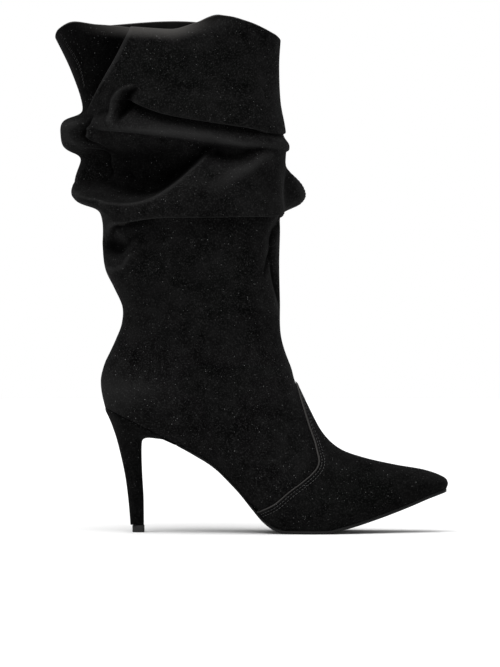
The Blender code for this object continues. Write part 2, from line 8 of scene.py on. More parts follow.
import bpy
import numpy as np
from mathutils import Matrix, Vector


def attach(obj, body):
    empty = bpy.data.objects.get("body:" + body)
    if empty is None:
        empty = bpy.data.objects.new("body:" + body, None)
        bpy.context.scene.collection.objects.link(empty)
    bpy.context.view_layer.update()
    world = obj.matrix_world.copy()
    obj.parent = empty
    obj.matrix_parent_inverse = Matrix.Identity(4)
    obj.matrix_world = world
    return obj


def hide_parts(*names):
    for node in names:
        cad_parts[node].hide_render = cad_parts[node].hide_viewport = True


# Driving sizes
BOOT_LENGTH = 0.2428  # back of the seat to the toe tip, along the floor
SEAT_BACK = 0.0238  # centre of the heel tip to the back of the seat
HEEL_HEIGHT = 0.0890  # floor to the back of the seat
TOE_SPRING = 0.0310  # floor to the feather line at the toe tip
SHAFT_HEIGHT = 0.2760  # back of the seat to the collar
BALL_WIDTH = 0.0780  # lasted foot at the ball
SHAFT_WIDTH = 0.0900  # slack shaft, side to side
WALL = 0.0018  # suede and lining together
VAMP_THICKNESS = 0.0011  # suede of the overlaid vamp
SOLE_THICKNESS = 0.0025
LIFT_HEIGHT = 0.0050
LIFT_LENGTH = 0.0086
LIFT_WIDTH = 0.0090
CLEARANCE = 0.0003  # gap between two pieces that meet

# The feather line in side view: along the boot, and its height above the sole's thickness as shares of
# the heel height and of the toe spring. Two zero rows at the ball make the flat that rests.
FEATHER_LINE = (
    # along, of heel height, of toe spring
    (0, 1, 0),
    (0.098, 0.865, 0),
    (0.210, 0.705, 0),
    (0.255, 0.644, 0),
    (0.290, 0.590, 0),
    (0.325, 0.520, 0),
    (0.360, 0.424, 0),
    (0.395, 0.318, 0),
    (0.430, 0.195, 0),
    (0.465, 0.084, 0),
    (0.498, 0.022, 0),
    (0.530, 0, 0),
    (0.640, 0, 0),
    (0.702, 0, 0.110),
    (0.804, 0, 0.375),
    (0.892, 0, 0.650),
    (0.950, 0, 0.850),
    (1, 0, 1),
)

# Rings of the upper, from the feather line to the collar. Back and front points: along is a share of
# the boot length, up a share of the shaft height above the seat (back) or of the collar's height above
# the feather line's toe (front). Heel to tip are half widths at five stations along the ring, as shares
# of the ball width. Round is the share of the ring's length taken by its rounded end, and arch how far
# the ring follows the feather line's drop between its ends.
RINGS = (
    # back along, up, front along, up, heel, waist, ball, toe, tip, round back, front, arch
    (0, 0, 1, 0, 0.333, 0.269, 0.481, 0.308, 0.103, 0.10, 0.035, 1),
    (-0.006, 0.022, 1.004, 0.012, 0.365, 0.346, 0.513, 0.340, 0.122, 0.11, 0.040, 0.97),
    (-0.011, 0.047, 0.990, 0.025, 0.385, 0.397, 0.513, 0.346, 0.154, 0.12, 0.070, 0.90),
    (-0.012, 0.072, 0.934, 0.040, 0.391, 0.429, 0.494, 0.353, 0.205, 0.14, 0.140, 0.80),
    (-0.007, 0.094, 0.848, 0.051, 0.391, 0.442, 0.474, 0.372, 0.256, 0.16, 0.240, 0.68),
    (0.002, 0.118, 0.757, 0.066, 0.385, 0.449, 0.474, 0.397, 0.295, 0.20, 0.320, 0.52),
    (0.017, 0.145, 0.687, 0.085, 0.378, 0.455, 0.474, 0.423, 0.333, 0.26, 0.400, 0.37),
    (0.034, 0.178, 0.638, 0.118, 0.372, 0.462, 0.481, 0.436, 0.359, 0.32, 0.440, 0.24),
    (0.049, 0.214, 0.598, 0.171, 0.385, 0.468, 0.487, 0.449, 0.378, 0.38, 0.460, 0.13),
    (0.051, 0.257, 0.553, 0.243, 0.417, 0.481, 0.494, 0.474, 0.436, 0.44, 0.480, 0.05),
    (0.028, 0.304, 0.516, 0.320, 0.474, 0.487, 0.494, 0.487, 0.474, 0.50, 0.500, 0),
    (0.001, 0.355, 0.512, 0.401, 0.500, 0.506, 0.506, 0.506, 0.500, 0.50, 0.500, 0),
    (-0.007, 0.417, 0.510, 0.476, 0.526, 0.526, 0.526, 0.526, 0.526, 0.50, 0.500, 0),
    (-0.007, 0.475, 0.512, 0.539, 0.545, 0.545, 0.545, 0.545, 0.545, 0.50, 0.500, 0),
    (-0.026, 0.547, 0.514, 0.602, 0.564, 0.564, 0.564, 0.564, 0.564, 0.50, 0.500, 0),
    (-0.054, 0.627, 0.526, 0.674, 0.571, 0.571, 0.571, 0.571, 0.571, 0.50, 0.500, 0),
    (-0.071, 0.707, 0.530, 0.751, 0.571, 0.571, 0.571, 0.571, 0.571, 0.50, 0.500, 0),
    (-0.067, 0.779, 0.514, 0.823, 0.564, 0.564, 0.564, 0.564, 0.564, 0.50, 0.500, 0),
    (-0.100, 0.873, 0.510, 0.901, 0.558, 0.558, 0.558, 0.558, 0.558, 0.50, 0.500, 0),
    (-0.145, 0.965, 0.514, 0.958, 0.558, 0.558, 0.558, 0.558, 0.558, 0.50, 0.500, 0),
)
WIDTH_STATIONS = (0.10, 0.38, 0.62, 0.82, 1.00)
END_POWER = 2.2  # how square the rounded ends are
FRONT_CROWD = 0.5  # how far the columns of the foot crowd towards the toe
HALF_STEPS = 241
SOLE_SWING = (
    # along a ring, shift towards the medial side as a share of the ball width
    (0.00, 0.000), (0.38, -0.038), (0.62, 0.000), (0.85, 0.045), (1.00, 0.064),
)

# Folds of the slack shaft. Rise is outwards, above and below are the reach of the slope on either side
# of the path (all shares of the shaft's width), lean how far a ridge hangs down over what is below it,
# power how flat its top is. Each path point is degrees round from the back by way of the outer side,
# height as a share of the shaft above the seat, and the share of the fold's full size there.
FOLDS = (
    # rise, above, below, lean, power, path
    # Crease under the smooth upper panel
    (-0.185, 0.026, 0.070, 0.70, 2, ((45, 0.776, 0.1), (51, 0.768, 0.8), (58, 0.754, 1), (76, 0.729, 1),
        (102, 0.711, 1), (134, 0.697, 0.75), (160, 0.692, 0.12), (205, 0.708, 0.3), (245, 0.738, 0.9),
        (285, 0.752, 0.7), (315, 0.742, 0.1))),
    # Pocket at the crease's end, sharp against the curled lip
    (-0.105, 0.075, 0.018, 0, 2, ((62, 0.812, 0.1), (53, 0.800, 0.8), (48, 0.778, 1), (46, 0.752, 0.9),
        (48, 0.732, 0.2))),
    # Thin lip that curls round the crease's end
    (0.030, 0.016, 0.026, 0, 2, ((43, 0.722, 0.2), (41, 0.750, 0.9), (43, 0.782, 1), (50, 0.808, 0.8),
        (61, 0.822, 0.2))),
    # Roll below that crease
    (0.072, 0.062, 0.066, 0.50, 4, ((12, 0.718, 0.1), (24, 0.724, 0.4), (40, 0.728, 0.9),
        (58, 0.723, 1), (78, 0.710, 1), (102, 0.697, 1), (126, 0.685, 0.9), (150, 0.678, 0.6),
        (175, 0.672, 0.3), (210, 0.680, 0.8), (250, 0.698, 0.8), (300, 0.712, 0.2))),
    # Deep hollow
    (-0.230, 0.170, 0.170, 0, 3, ((2, 0.628, 0.1), (14, 0.622, 0.7), (30, 0.612, 1), (48, 0.607, 1),
        (68, 0.611, 1), (86, 0.624, 0.8), (100, 0.642, 0.5), (112, 0.658, 0.2))),
    # Its lower bend, sharp where it meets the lip under it
    (-0.150, 0.100, 0.022, 0, 2.5, ((4, 0.590, 0.1), (14, 0.573, 0.7), (28, 0.555, 1), (46, 0.548, 1),
        (66, 0.558, 1), (84, 0.590, 0.8), (98, 0.628, 0.5), (110, 0.664, 0.1))),
    # Bend inside the hollow
    (-0.070, 0.090, 0.050, 0, 2.5, ((12, 0.550, 0.3), (13, 0.580, 1), (13, 0.640, 1), (12, 0.670, 0.3))),
    # Sharp lip under the hollow
    (0.105, 0.024, 0.110, -0.40, 1.5, ((0, 0.583, 0.2), (12, 0.555, 0.8), (26, 0.532, 1), (46, 0.523, 1),
        (66, 0.534, 1), (84, 0.566, 0.9), (98, 0.606, 0.7), (108, 0.645, 0.2))),
    # Wide fold with a sharp lower edge
    (0.085, 0.180, 0.026, 0.75, 2, ((16, 0.440, 0.1), (23, 0.460, 0.4), (34, 0.479, 0.75),
        (52, 0.492, 0.95), (76, 0.502, 1), (114, 0.505, 1), (150, 0.506, 0.9), (178, 0.504, 0.4),
        (205, 0.490, 0.2))),
    # Its upper body, rising to the front
    (0.060, 0.080, 0.100, 0.20, 2, ((96, 0.560, 0.2), (116, 0.595, 0.8), (134, 0.625, 1),
        (152, 0.645, 0.5), (166, 0.655, 0.1))),
    # Pointed fold on the inner side of the front
    (0.280, 0.065, 0.090, 0.10, 1.4, ((186, 0.605, 0.2), (193, 0.582, 0.7), (200, 0.556, 1),
        (208, 0.532, 0.9), (230, 0.505, 0.2))),
    # Roll at the back
    (0.160, 0.125, 0.150, 0, 4, ((-45, 0.715, 0.2), (-20, 0.708, 0.8), (2, 0.704, 1), (14, 0.700, 0.9),
        (26, 0.694, 0.2))),
    # Curl inside that roll
    (-0.100, 0.040, 0.040, 0, 2, ((24, 0.735, 0.2), (20, 0.715, 0.9), (18, 0.690, 1),
        (24, 0.672, 0.2))),
    # Finger below it
    (0.145, 0.230, 0.105, 0, 3, ((-40, 0.566, 0.1), (-12, 0.564, 0.9), (2, 0.557, 1), (12, 0.545, 0.9),
        (28, 0.522, 0.2))),
    # Edge where the outer panel folds in before the back
    (-0.220, 0.180, 0.018, -0.10, 1.6, ((16, 0.766, 0.1), (30, 0.820, 0.4), (43, 0.872, 0.7),
        (54, 0.922, 0.9), (62, 0.964, 1), (68, 1.015, 1))),
    # Oval dimple at the back
    (-0.085, 0.110, 0.060, 0, 2.2, ((8, 0.420, 0.3), (17, 0.408, 1), (30, 0.404, 1), (40, 0.418, 0.4))),
    # Rim of that dimple
    (0.022, 0.020, 0.034, 0, 2, ((8, 0.376, 0.3), (20, 0.356, 1), (34, 0.360, 1), (43, 0.388, 0.8),
        (50, 0.394, 0.2))),
    # Step along the lower front
    (-0.060, 0.030, 0.120, 0, 2, ((182, 0.480, 0.3), (168, 0.440, 1), (166, 0.400, 1),
        (169, 0.330, 0.8), (176, 0.260, 0.2))),
    # Branch of that step
    (-0.030, 0.025, 0.060, 0, 2, ((166, 0.388, 0.3), (160, 0.372, 1), (153, 0.345, 0.9),
        (150, 0.325, 0.1))),
    # Folds of the inner side: a wide one with a sharp lower edge, the hollow over it, a roll and a crease
    (0.090, 0.150, 0.028, 0.70, 2, ((212, 0.505, 0.2), (238, 0.500, 0.9), (275, 0.515, 1),
        (312, 0.548, 0.9), (345, 0.575, 0.2))),
    (-0.160, 0.070, 0.060, 0.30, 2.4, ((212, 0.610, 0.2), (242, 0.598, 0.9), (278, 0.612, 1),
        (312, 0.640, 0.8), (338, 0.655, 0.2))),
    (0.050, 0.060, 0.040, 0.40, 2, ((205, 0.655, 0.2), (240, 0.648, 1), (280, 0.660, 1),
        (318, 0.682, 0.2))),
    (-0.070, 0.035, 0.070, 0.40, 2, ((232, 0.395, 0.1), (258, 0.410, 0.9), (290, 0.432, 1),
        (322, 0.440, 0.7), (344, 0.425, 0.1))),
    # Soft hollow between the roll and the wide fold
    (-0.115, 0.066, 0.074, 0, 2, ((100, 0.664, 0.2), (110, 0.654, 0.8), (120, 0.642, 1),
        (130, 0.642, 0.8), (140, 0.658, 0.4), (150, 0.668, 0.1))),
    # Inward turn of the outer rim
    (-0.055, 0.080, 0.060, 0, 2, ((30, 0.985, 0.2), (48, 0.978, 1), (80, 0.970, 1), (112, 0.982, 1),
        (130, 1.005, 0.3))),
)
TURN_RUN = 0.0111  # run round the shaft of one degree, as a share of the shaft width
COLLAR_WAVE = (
    # degrees round, rise of the rim as a share of the shaft height
    (0, -0.022), (14, 0.004), (28, 0.022), (42, 0.012), (66, 0.009), (92, 0.005), (108, 0.029),
    (124, 0.060), (142, 0.042), (165, 0.004), (180, -0.012), (215, 0.030), (260, 0.060), (310, 0.034),
    (360, -0.022),
)
COLLAR_REACH = 0.30  # how far down the shaft the rim's wave is felt, as a share of its height
VAMP_EDGE = (
    # ring position, degrees round from the back
    (0.00, 61.8), (0.80, 65.0), (1.50, 69.2), (2.28, 76.4), (2.78, 83.2), (3.22, 90.4), (3.72, 100.6),
    (4.28, 116.4), (4.62, 126.2), (5.00, 134.8), (5.50, 143.0), (6.43, 155.2), (7.22, 161.2),
    (7.82, 164.5), (8.31, 168.0), (8.60, 172.0), (8.80, 177.0),
)
VAMP_EASE = 0.16  # run over which the wall rises beyond the vamp, as a share of the ball width

# Sections of the heel from the seat down to the tip. Back and front points: along the boot from the
# back of the seat, as a share of the heel height, and up as a share of it; half width as a share of
# the ball width; power of its front, from round to square.
HEEL_SECTIONS = (
    # back along, up, front along, up, half width, front power
    (0.002, 0.994, 0.572, 0.709, 0.331, 7.0),
    (0.006, 0.968, 0.572, 0.697, 0.325, 7.0),
    (0.024, 0.930, 0.487, 0.736, 0.305, 6.0),
    (0.038, 0.899, 0.413, 0.748, 0.277, 5.0),
    (0.054, 0.860, 0.346, 0.753, 0.241, 4.5),
    (0.076, 0.798, 0.303, 0.737, 0.190, 4.0),
    (0.096, 0.734, 0.293, 0.685, 0.151, 4.0),
    (0.132, 0.590, 0.294, 0.562, 0.106, 4.0),
    (0.163, 0.438, 0.300, 0.427, 0.082, 4.0),
    (0.185, 0.270, 0.309, 0.270, 0.068, 4.0),
    (0.204, 0.060, 0.311, 0.060, 0.060, 4.0),
)
HEEL_BACK_POWER = 2.1
SEAT_FRONT = 0.572  # front edge of the heel's lip, from the back of the seat in heel heights

# Fine surfaces of the pieces
FINE_COLUMNS = 276
OUTER_SWELL = 0.25  # how much closer the columns stand on the outer side
FINE_ROWS = (
    # from ring, to ring, rows
    (0.0, 9.0, 84),
    (9.0, 13.2, 40),
    (13.2, 17.7, 140),
    (17.7, 19.0, 30),
)
PATH_STEPS = 12  # steps between two points of a fold's path
FOLD_END = 0.4  # share of a fold's reach that is left at its ends
FOLD_SOFTNESS = 1  # passes that round the folds' sharpest lines
RIM_STEPS = 5
RIM_HIGHLIGHT_BAND = 0.0085  # height of the band under the outer rim that is painted paler, a painted highlight where the rim turns in to the light above
# how fully that band takes the pale grey of a cut edge: painted highlight
RIM_HIGHLIGHT = 1.0
RIM_MIDDLE = 78  # degrees round of the band's middle
RIM_SPAN = 34  # degrees from there to its fading ends
INNER_EVERY = 3  # rows outside for each row inside
INNER_SOFTNESS = 6  # passes that even out the directions from outside to inside
CREST_FULL = 0.0010  # how proud a crest is when it is fully greyed, as worn nap and painted highlight
UPPER_CREST_PASSES = 14  # averaging passes that give a crest's surroundings
VAMP_CREST_PASSES = 6
EDGE_STEPS = 90  # places along the vamp's edge that the cover is measured from
COVER_BEYOND = 2.0  # rings above the vamp that its edge is felt in
VAMP_ROWS = 150
VAMP_ACROSS = 56
VAMP_STEPS = (
    # columns of the vamp beside its edge, as distances from it
    0.0, 0.00012, 0.00028, 0.0005, 0.0008, 0.0012, 0.0016, 0.002, 0.0023, 0.0026, 0.0029, 0.0033,
    0.0037, 0.0041, 0.0044, 0.0047, 0.005, 0.0055, 0.006,
)
VAMP_ROUND = 0.0008  # radius of the vamp's cut edge
VAMP_EDGE_DROP = 0.9  # share of that radius that the edge falls by
CUT_WIDTH = 1.2  # width of the pale cut, as a share of that radius
STITCH_ROWS = (0.0024, 0.0044)  # distances from the vamp's edge
STITCH_PULL = 0.00022  # how deep the stitches draw the suede in
STITCH_SPREAD = 0.0005
STITCH_LENGTH = 0.0019
STITCH_GAP = 0.0007
THREAD_WIDTH = 0.0004
STITCH_ARCH = 0.35  # rise of its middle and depth of its ends, in thread widths
STITCH_SUNK = 0.1
STITCH_TIP = 0.02  # square of the width left at its tips
STITCH_PLACES = 7  # loops of points along a stitch
STITCH_SIDES = 8  # points round a loop
SEAM_PATH = (
    # degrees round, ring position along the back seam
    (9.4, 18.97), (12.6, 18.62), (15.8, 18.36), (20.2, 18.01), (23.5, 17.65), (25.8, 17.39),
)
SEAM_STEPS = 90  # places along the path
SEAM_OFFSETS = (0.0, 0.002)  # rows of stitches beside that path
HEEL_FINE = 96
HEEL_ROWS = 90
LIFT_PROFILE = (
    # inset, height as a share of the lift's
    (0.0003, 0.0), (0.0001, 0.03), (0.0, 0.08), (0.0, 0.94), (0.0002, 1.0),
)
SOLE_STATIONS = 260
SOLE_ACROSS = 14
SOLE_ROUND = 0.0008  # radius of the sole's lower edges
SOLE_NARROW = 0.8  # most that it takes of the sole's half width
SOLE_BEND = 6  # points across that rounding
SOLE_TAPER = 6  # thicknesses over which the sole thins at the heel
LIFT_POWER = 4  # how square the top lift is

# Tone of the nap, with painted light: from -1, black as painted shade, over 0 to 1, grey of worn nap and
# painted highlight
TONE_AND_LIGHT_PATCHES = (
    # degrees round, height share, reach round, reach up, rise of its line a degree, tone
    # painted highlight: the lit patch on the upper body of the wide fold
    (122, 0.590, 24, 0.024, 0.0017, 1.05),
    (80, 0.700, 46, 0.016, -0.0004, 0.80),
    (22, 0.045, 18, 0.040, 0.0, 0.60),
    # painted shade in the deep hollow
    (55, 0.605, 45, 0.050, 0.0, -0.35),
)
BODY_TONE = -0.20
VAMP_TONE = -0.50
HEEL_TONE = -0.50
FIN_SHADE = -0.85  # painted shade behind the outer panel's back edge, where the suede folds in away from the light
FIN_FOLD = 14  # number of the fold that makes that edge
FIN_FADE = (5, 8, 0.04)  # its fades: degrees at the edge, degrees at the back, height share below

# Tones of the finishes, as linear grey
SUEDE_DARK = 0.0008
SUEDE_LIGHT = 0.0058
SUEDE_FLECK = 0.024
# grey that crests take: worn nap and painted highlight
SUEDE_CREST = 0.020
# pale grey of cut edges, also the painted highlight on the band under the outer rim
SUEDE_CUT_AND_HIGHLIGHT = 0.060
SUEDE_SURFACE = {
    "Roughness": 0.92,
    "Specular IOR Level": 0.02,
    "Sheen Weight": 0.018,
    "Sheen Roughness": 0.45,
    "Sheen Tint": (0.55, 0.55, 0.56, 1),
}
SLACK_BUMP = {"Strength": 0.35, "Distance": 0.0012}
NAP_BUMP = {"Strength": 0.5, "Distance": 0.00025}
FLECK_SHARE = 0.8
RUB_AND_LIGHT_START = 0.2  # crest from which the nap is greyed, as worn nap and painted highlight
RUB_AND_LIGHT_SHARE = 0.58
CREASE_SHARE = 0.8  # how black a full crease is: painted shade
# how far cut edges and the rim's painted highlight band take the pale grey
CUT_AND_HIGHLIGHT_SHARE = 0.8
CUT_AND_HIGHLIGHT_WARMTH = 0.04
LINT = 0.16
SUEDE_PATCH = 110.0  # mottled patches a metre
SUEDE_NAP = 950.0  # flecks a metre
SUEDE_SLACK = 130.0  # soft dents a metre
SUEDE_LINT = (750.0, 0.5)  # lint cells a metre, share of them that holds some
PLAIN_PATCH = 120.0
PLAIN_LINT = 420.0
PLAIN_GRAIN = 0.0002  # height of the grain
PLAIN_FINISHES = {
    # dark and light tone, warmth, roughness, gloss, bump, flecks a metre, share of cells with lint
    "black_thread": (0.018, 0.045, 0.0, 0.60, 0.20, 0.20, 4000.0, 0.0),
    "seam_thread": (0.008, 0.018, 0.0, 0.70, 0.05, 0.20, 4000.0, 0.0),
    "textile_lining": (0.004, 0.009, 0.04, 0.90, 0.04, 0.30, 1500.0, 0.03),
    "sole_finish": (0.004, 0.009, 0.0, 0.50, 0.12, 0.15, 1500.0, 0.02),
    "lift_rubber_finish": (0.008, 0.016, 0.0, 0.60, 0.20, 0.20, 1500.0, 0.02),
}

# Stage and camera
FLOOR_SIDE = 12.0
FLOOR_TONE = 0.8
WORLD_LIGHT = 0.5
WORLD_SEEN = 1.0  # how bright the surroundings look
SUN_FROM = (-0.15, -0.38, 1.3)
SUN_POWER = 3.9
SUN_SPREAD = 60  # degrees across
CAMERA_SENSOR = 36.0
CAMERA_AWAY = 3.0
CAMERA_REACH = (0.1, 50)
VIEW_HEIGHT = 0.4736
VIEW_CENTRE = (0.0792, 0.141)


def cubic(part, start, leave, end, arrive):
    """Cubic: start (2t^3 - 3t^2 + 1) + leave (t^3 - 2t^2 + t) + end (3t^2 - 2t^3) + arrive (t^3 - t^2)."""
    return (
        start * (2 * part**3 - 3 * part**2 + 1)
        + leave * (part**3 - 2 * part**2 + part)
        + end * (3 * part**2 - 2 * part**3)
        + arrive * (part**3 - part**2)
    )


def smooth(rows, at):
    """Cubic curve through evenly spaced rows, at positions counted in rows."""
    rows = np.asarray(rows, float)
    at = np.clip(at, 0, len(rows) - 1)
    low = np.minimum(at.astype(int), len(rows) - 2)
    part = (at - low)[:, None]
    before = rows[np.maximum(low - 1, 0)]
    start = rows[low]
    end = rows[low + 1]
    after = rows[np.minimum(low + 2, len(rows) - 1)]
    return cubic(part, start, (end - before) / 2, end, (after - start) / 2)


def curve(stations, values, at):
    """Cubic curve through values at uneven stations, with no overshoot between them."""
    stations = np.asarray(stations, float)
    values = np.asarray(values, float)
    rises = np.diff(values) / np.diff(stations)
    slopes = np.zeros(len(values))
    before, after = rises[:-1], rises[1:]
    turning = before * after <= 0
    total = np.where(turning, 1, before + after)
    slopes[1:-1] = np.where(turning, 0, 2 * before * after / total)
    slopes[0], slopes[-1] = rises[0], rises[-1]
    at = np.clip(at, stations[0], stations[-1])
    low = np.clip(np.searchsorted(stations, at, side="right") - 1, 0, len(stations) - 2)
    span = stations[low + 1] - stations[low]
    part = (at - stations[low]) / span
    return cubic(part, values[low], slopes[low] * span, values[low + 1], slopes[low + 1] * span)


def feather_height(along):
    """Height of the feather line at a share of the boot's length."""
    table = np.array(FEATHER_LINE)
    seat = curve(table[:, 0], table[:, 1], along) * (HEEL_HEIGHT - SOLE_THICKNESS)
    toe = curve(table[:, 0], table[:, 2], along) * (TOE_SPRING - SOLE_THICKNESS)
    return SOLE_THICKNESS + seat + toe


def ring_half(row, part):
    """One side of a ring, at shares of its length: points on the boot's plane and half widths."""
    back_x, back_z, front_x, front_z = row[:4]
    widths = row[4:9] * BALL_WIDTH
    round_back, round_front, arch = row[9:]
    start = np.array([back_x * BOOT_LENGTH - SEAT_BACK, HEEL_HEIGHT + back_z * SHAFT_HEIGHT])
    collar = HEEL_HEIGHT + SHAFT_HEIGHT
    end = np.array([front_x * BOOT_LENGTH - SEAT_BACK, TOE_SPRING + front_z * (collar - TOE_SPRING)])
    line = start + part[:, None] * (end - start)
    sag = feather_height(part) - (HEEL_HEIGHT + part * (TOE_SPRING - HEEL_HEIGHT))
    back = np.clip(1 - part / round_back, 0, 1)
    front = np.clip(1 - (1 - part) / round_front, 0, 1)
    ends = (1 - back**END_POWER) ** (1 / END_POWER) * (1 - front**END_POWER) ** (1 / END_POWER)
    half = curve(WIDTH_STATIONS, widths, part) * ends
    swing = np.array(SOLE_SWING)
    shift = curve(swing[:, 0], swing[:, 1], part) * BALL_WIDTH * arch
    return line[:, 0], line[:, 1] + sag * arch, half, shift


def form(around, rows):
    """Grid of points on the bare form, at turn shares (a row of them for each ring position)."""
    table = smooth(RINGS, np.asarray(rows, float))
    part = (1 - np.cos(np.linspace(0, np.pi, HALF_STEPS))) / 2
    around = np.broadcast_to(np.asarray(around) % 1, (len(table), np.shape(around)[-1]))
    grid = np.empty(around.shape + (3,))
    for index, row in enumerate(table):
        x, z, half, shift = ring_half(row, part)
        outer = around[index] <= 0.5
        halfway = np.where(outer, around[index], 1 - around[index]) * 2
        reach = halfway + FRONT_CROWD * row[11] * np.sin(np.pi * halfway) / np.pi
        for side, chosen in ((-1, outer), (1, ~outer)):
            y = side * half + shift
            steps = np.sqrt(np.diff(x) ** 2 + np.diff(y) ** 2 + np.diff(z) ** 2)
            run = np.concatenate([[0], np.cumsum(steps)])
            at = reach[chosen] * run[-1]
            for axis, line in enumerate((x, y, z)):
                grid[index, chosen, axis] = np.interp(at, run, line)
    return grid


def fold_shift(degrees, height, fold):
    """How far one fold moves each place out, rise exp(-(away / reach)^power), and the way up across it."""
    rise, above, below, _, power, path = fold
    fine = smooth(path, np.linspace(0, len(path) - 1, PATH_STEPS * (len(path) - 1) + 1))
    sizes = fine[:, 2]
    line = np.stack([fine[:, 0] * TURN_RUN * SHAFT_WIDTH, fine[:, 1] * SHAFT_HEIGHT], axis=1)
    steps = np.diff(line, axis=0)
    lengths = np.linalg.norm(steps, axis=1)
    whole_turn = 360 * TURN_RUN * SHAFT_WIDTH
    run = degrees * TURN_RUN * SHAFT_WIDTH
    best = np.full(run.shape, np.inf)
    side = np.zeros(run.shape)
    size = np.zeros(run.shape)
    across = np.zeros(run.shape + (2,))
    for index, (start, step) in enumerate(zip(line, steps)):
        over = (run - start[0] + whole_turn / 2) % whole_turn - whole_turn / 2
        up = height - start[1]
        part = np.clip((over * step[0] + up * step[1]) / lengths[index] ** 2, 0, 1)
        off_run = over - part * step[0]
        off_up = up - part * step[1]
        away = np.hypot(off_run, off_up)
        nearer = away < best
        best = np.where(nearer, away, best)
        side = np.where(nearer, step[0] * off_up - step[1] * off_run, side)
        size = np.where(nearer, sizes[index] + part * (sizes[index + 1] - sizes[index]), size)
        across[nearer] = (-step[1] / lengths[index], step[0] / lengths[index])
    reach = np.where(side > 0, above, below) * SHAFT_WIDTH * (FOLD_END + (1 - FOLD_END) * size)
    return rise * SHAFT_WIDTH * size * np.exp(-((best / reach) ** power)), across


def unit(vectors):
    """The vectors, each divided by its own length."""
    return vectors / np.linalg.norm(vectors, axis=-1, keepdims=True)


def directions(grid, closed):
    """Unit vectors of a grid of points: round it, up it and outwards."""
    if closed:
        turn = np.roll(grid, -1, axis=1) - np.roll(grid, 1, axis=1)
    else:
        turn = np.gradient(grid, axis=1)
    turn = unit(turn)
    climb = unit(np.gradient(grid, axis=0))
    return turn, climb, unit(np.cross(turn, climb))


def rim_wave(degrees, share):
    """Rise of the collar's wave, as a share of the shaft: wave (1 - (1 - share) / reach)^2."""
    wave = np.array(COLLAR_WAVE)
    return curve(wave[:, 0], wave[:, 1], degrees) * np.clip(1 - (1 - share) / COLLAR_REACH, 0, 1) ** 2


def folded(around, rows, closed=True):
    """The form with the collar's wave and the folds laid over it: the sum of each fold's shift and hang."""
    grid = form(around, rows)
    degrees = np.broadcast_to((np.asarray(around) % 1) * 360, grid.shape[:2])
    share = (grid[..., 2] - HEEL_HEIGHT) / SHAFT_HEIGHT
    grid[..., 2] += rim_wave(degrees, share) * SHAFT_HEIGHT
    height = grid[..., 2] - HEEL_HEIGHT
    turn, climb, out = directions(grid, closed)
    moved = np.zeros_like(grid)
    for fold in FOLDS:
        shift, across = fold_shift(degrees, height, fold)
        hang = (fold[3] * shift)[..., None]
        moved += out * shift[..., None]
        moved -= hang * (turn * across[..., :1] + climb * across[..., 1:])
    return grid + spread(moved, FOLD_SOFTNESS, closed)


def vamp_edge(rows):
    """Turn share of the vamp's edge at each ring position."""
    edge = np.array(VAMP_EDGE)
    return curve(edge[:, 0], edge[:, 1], rows) / 360


def distance_to(grid, line):
    """Distance of each place on a grid to a line of straight steps."""
    best = np.full(grid.shape[:-1], np.inf)
    for start, end in zip(line[:-1], line[1:]):
        step = end - start
        off = grid - start
        part = np.clip(off @ step / max(step @ step, 1e-18), 0, 1)
        best = np.minimum(best, ((off - part[..., None] * step) ** 2).sum(axis=-1))
    return np.sqrt(best)


def vamp_cover(grid, around, rows):
    """How far each place lies under the vamp: 1 under it, easing to 0 beyond its edge."""
    edge_rows = np.linspace(0, VAMP_EDGE[-1][0], EDGE_STEPS)
    turns = vamp_edge(edge_rows)
    lines = form(np.stack([turns, 1 - turns], axis=1), edge_rows)
    low = rows <= VAMP_EDGE[-1][0] + COVER_BEYOND
    away = np.minimum(distance_to(grid[low], lines[:, 0]), distance_to(grid[low], lines[:, 1]))
    outer = np.minimum(around, 1 - around)[low]
    below = rows[low][:, None] <= VAMP_EDGE[-1][0] + 1e-6
    inside = below & (outer >= vamp_edge(rows[low])[:, None] - 1e-6)
    ease = np.clip(1 - away / (VAMP_EASE * BALL_WIDTH), 0, 1)
    cover = np.zeros(grid.shape[:2])
    cover[low] = np.where(inside, 1, ease * ease * (3 - 2 * ease))
    return cover


def quads(rows, cols, closed):
    """Faces of a grid of points, rows upwards, the last column joined to the first where it is closed."""
    numbers = np.arange(rows * cols).reshape(rows, cols)
    right = np.roll(numbers, -1, axis=1)
    across = cols if closed else cols - 1
    corners = (numbers[:-1], right[:-1], right[1:], numbers[1:])
    return np.stack([corner[:, :across].ravel() for corner in corners], axis=1)


def bridge(fine, coarse):
    """Triangles between a closed loop and one with half as many points, both counted from one place."""
    first = fine[0::2]
    second = fine[1::2]
    third = np.roll(first, -1)
    nearby = np.roll(coarse, -1)
    return np.concatenate([
        np.stack([first, second, coarse], axis=1),
        np.stack([second, nearby, coarse], axis=1),
        np.stack([second, third, nearby], axis=1),
    ])


def placed(name, data):
    """An object in the scene for a mesh, a lamp or a camera."""
    made = bpy.data.objects.new(name, data)
    bpy.context.scene.collection.objects.link(made)
    return made


def add_piece(name, points, groups, looks, values=None, node=None):
    """A mesh from points and groups of (faces, look number), riding on the body, with named values."""
    mesh = bpy.data.meshes.new(name)
    points = np.asarray(points, np.float32)
    mesh.vertices.add(len(points))
    mesh.vertices.foreach_set("co", points.ravel())
    sizes = np.concatenate([np.full(len(faces), faces.shape[1]) for faces, _ in groups])
    corners = np.concatenate([faces.ravel() for faces, _ in groups]).astype(np.int32)
    mesh.loops.add(len(corners))
    mesh.loops.foreach_set("vertex_index", corners)
    mesh.polygons.add(len(sizes))
    mesh.polygons.foreach_set("loop_start", (np.cumsum(sizes) - sizes).astype(np.int32))
    numbers = np.concatenate([np.full(len(faces), look) for faces, look in groups])
    mesh.polygons.foreach_set("material_index", numbers.astype(np.int32))
    for look in looks:
        mesh.materials.append(look)
    mesh.update(calc_edges=True)
    for title, amounts in (values or {}).items():
        layer = mesh.attributes.new(title, "FLOAT", "POINT")
        layer.data.foreach_set("value", np.asarray(amounts, np.float32).ravel())
    mesh.shade_smooth()
    piece = placed(name, mesh)
    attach(piece, "root")
    if node:
        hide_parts(node)
    return piece


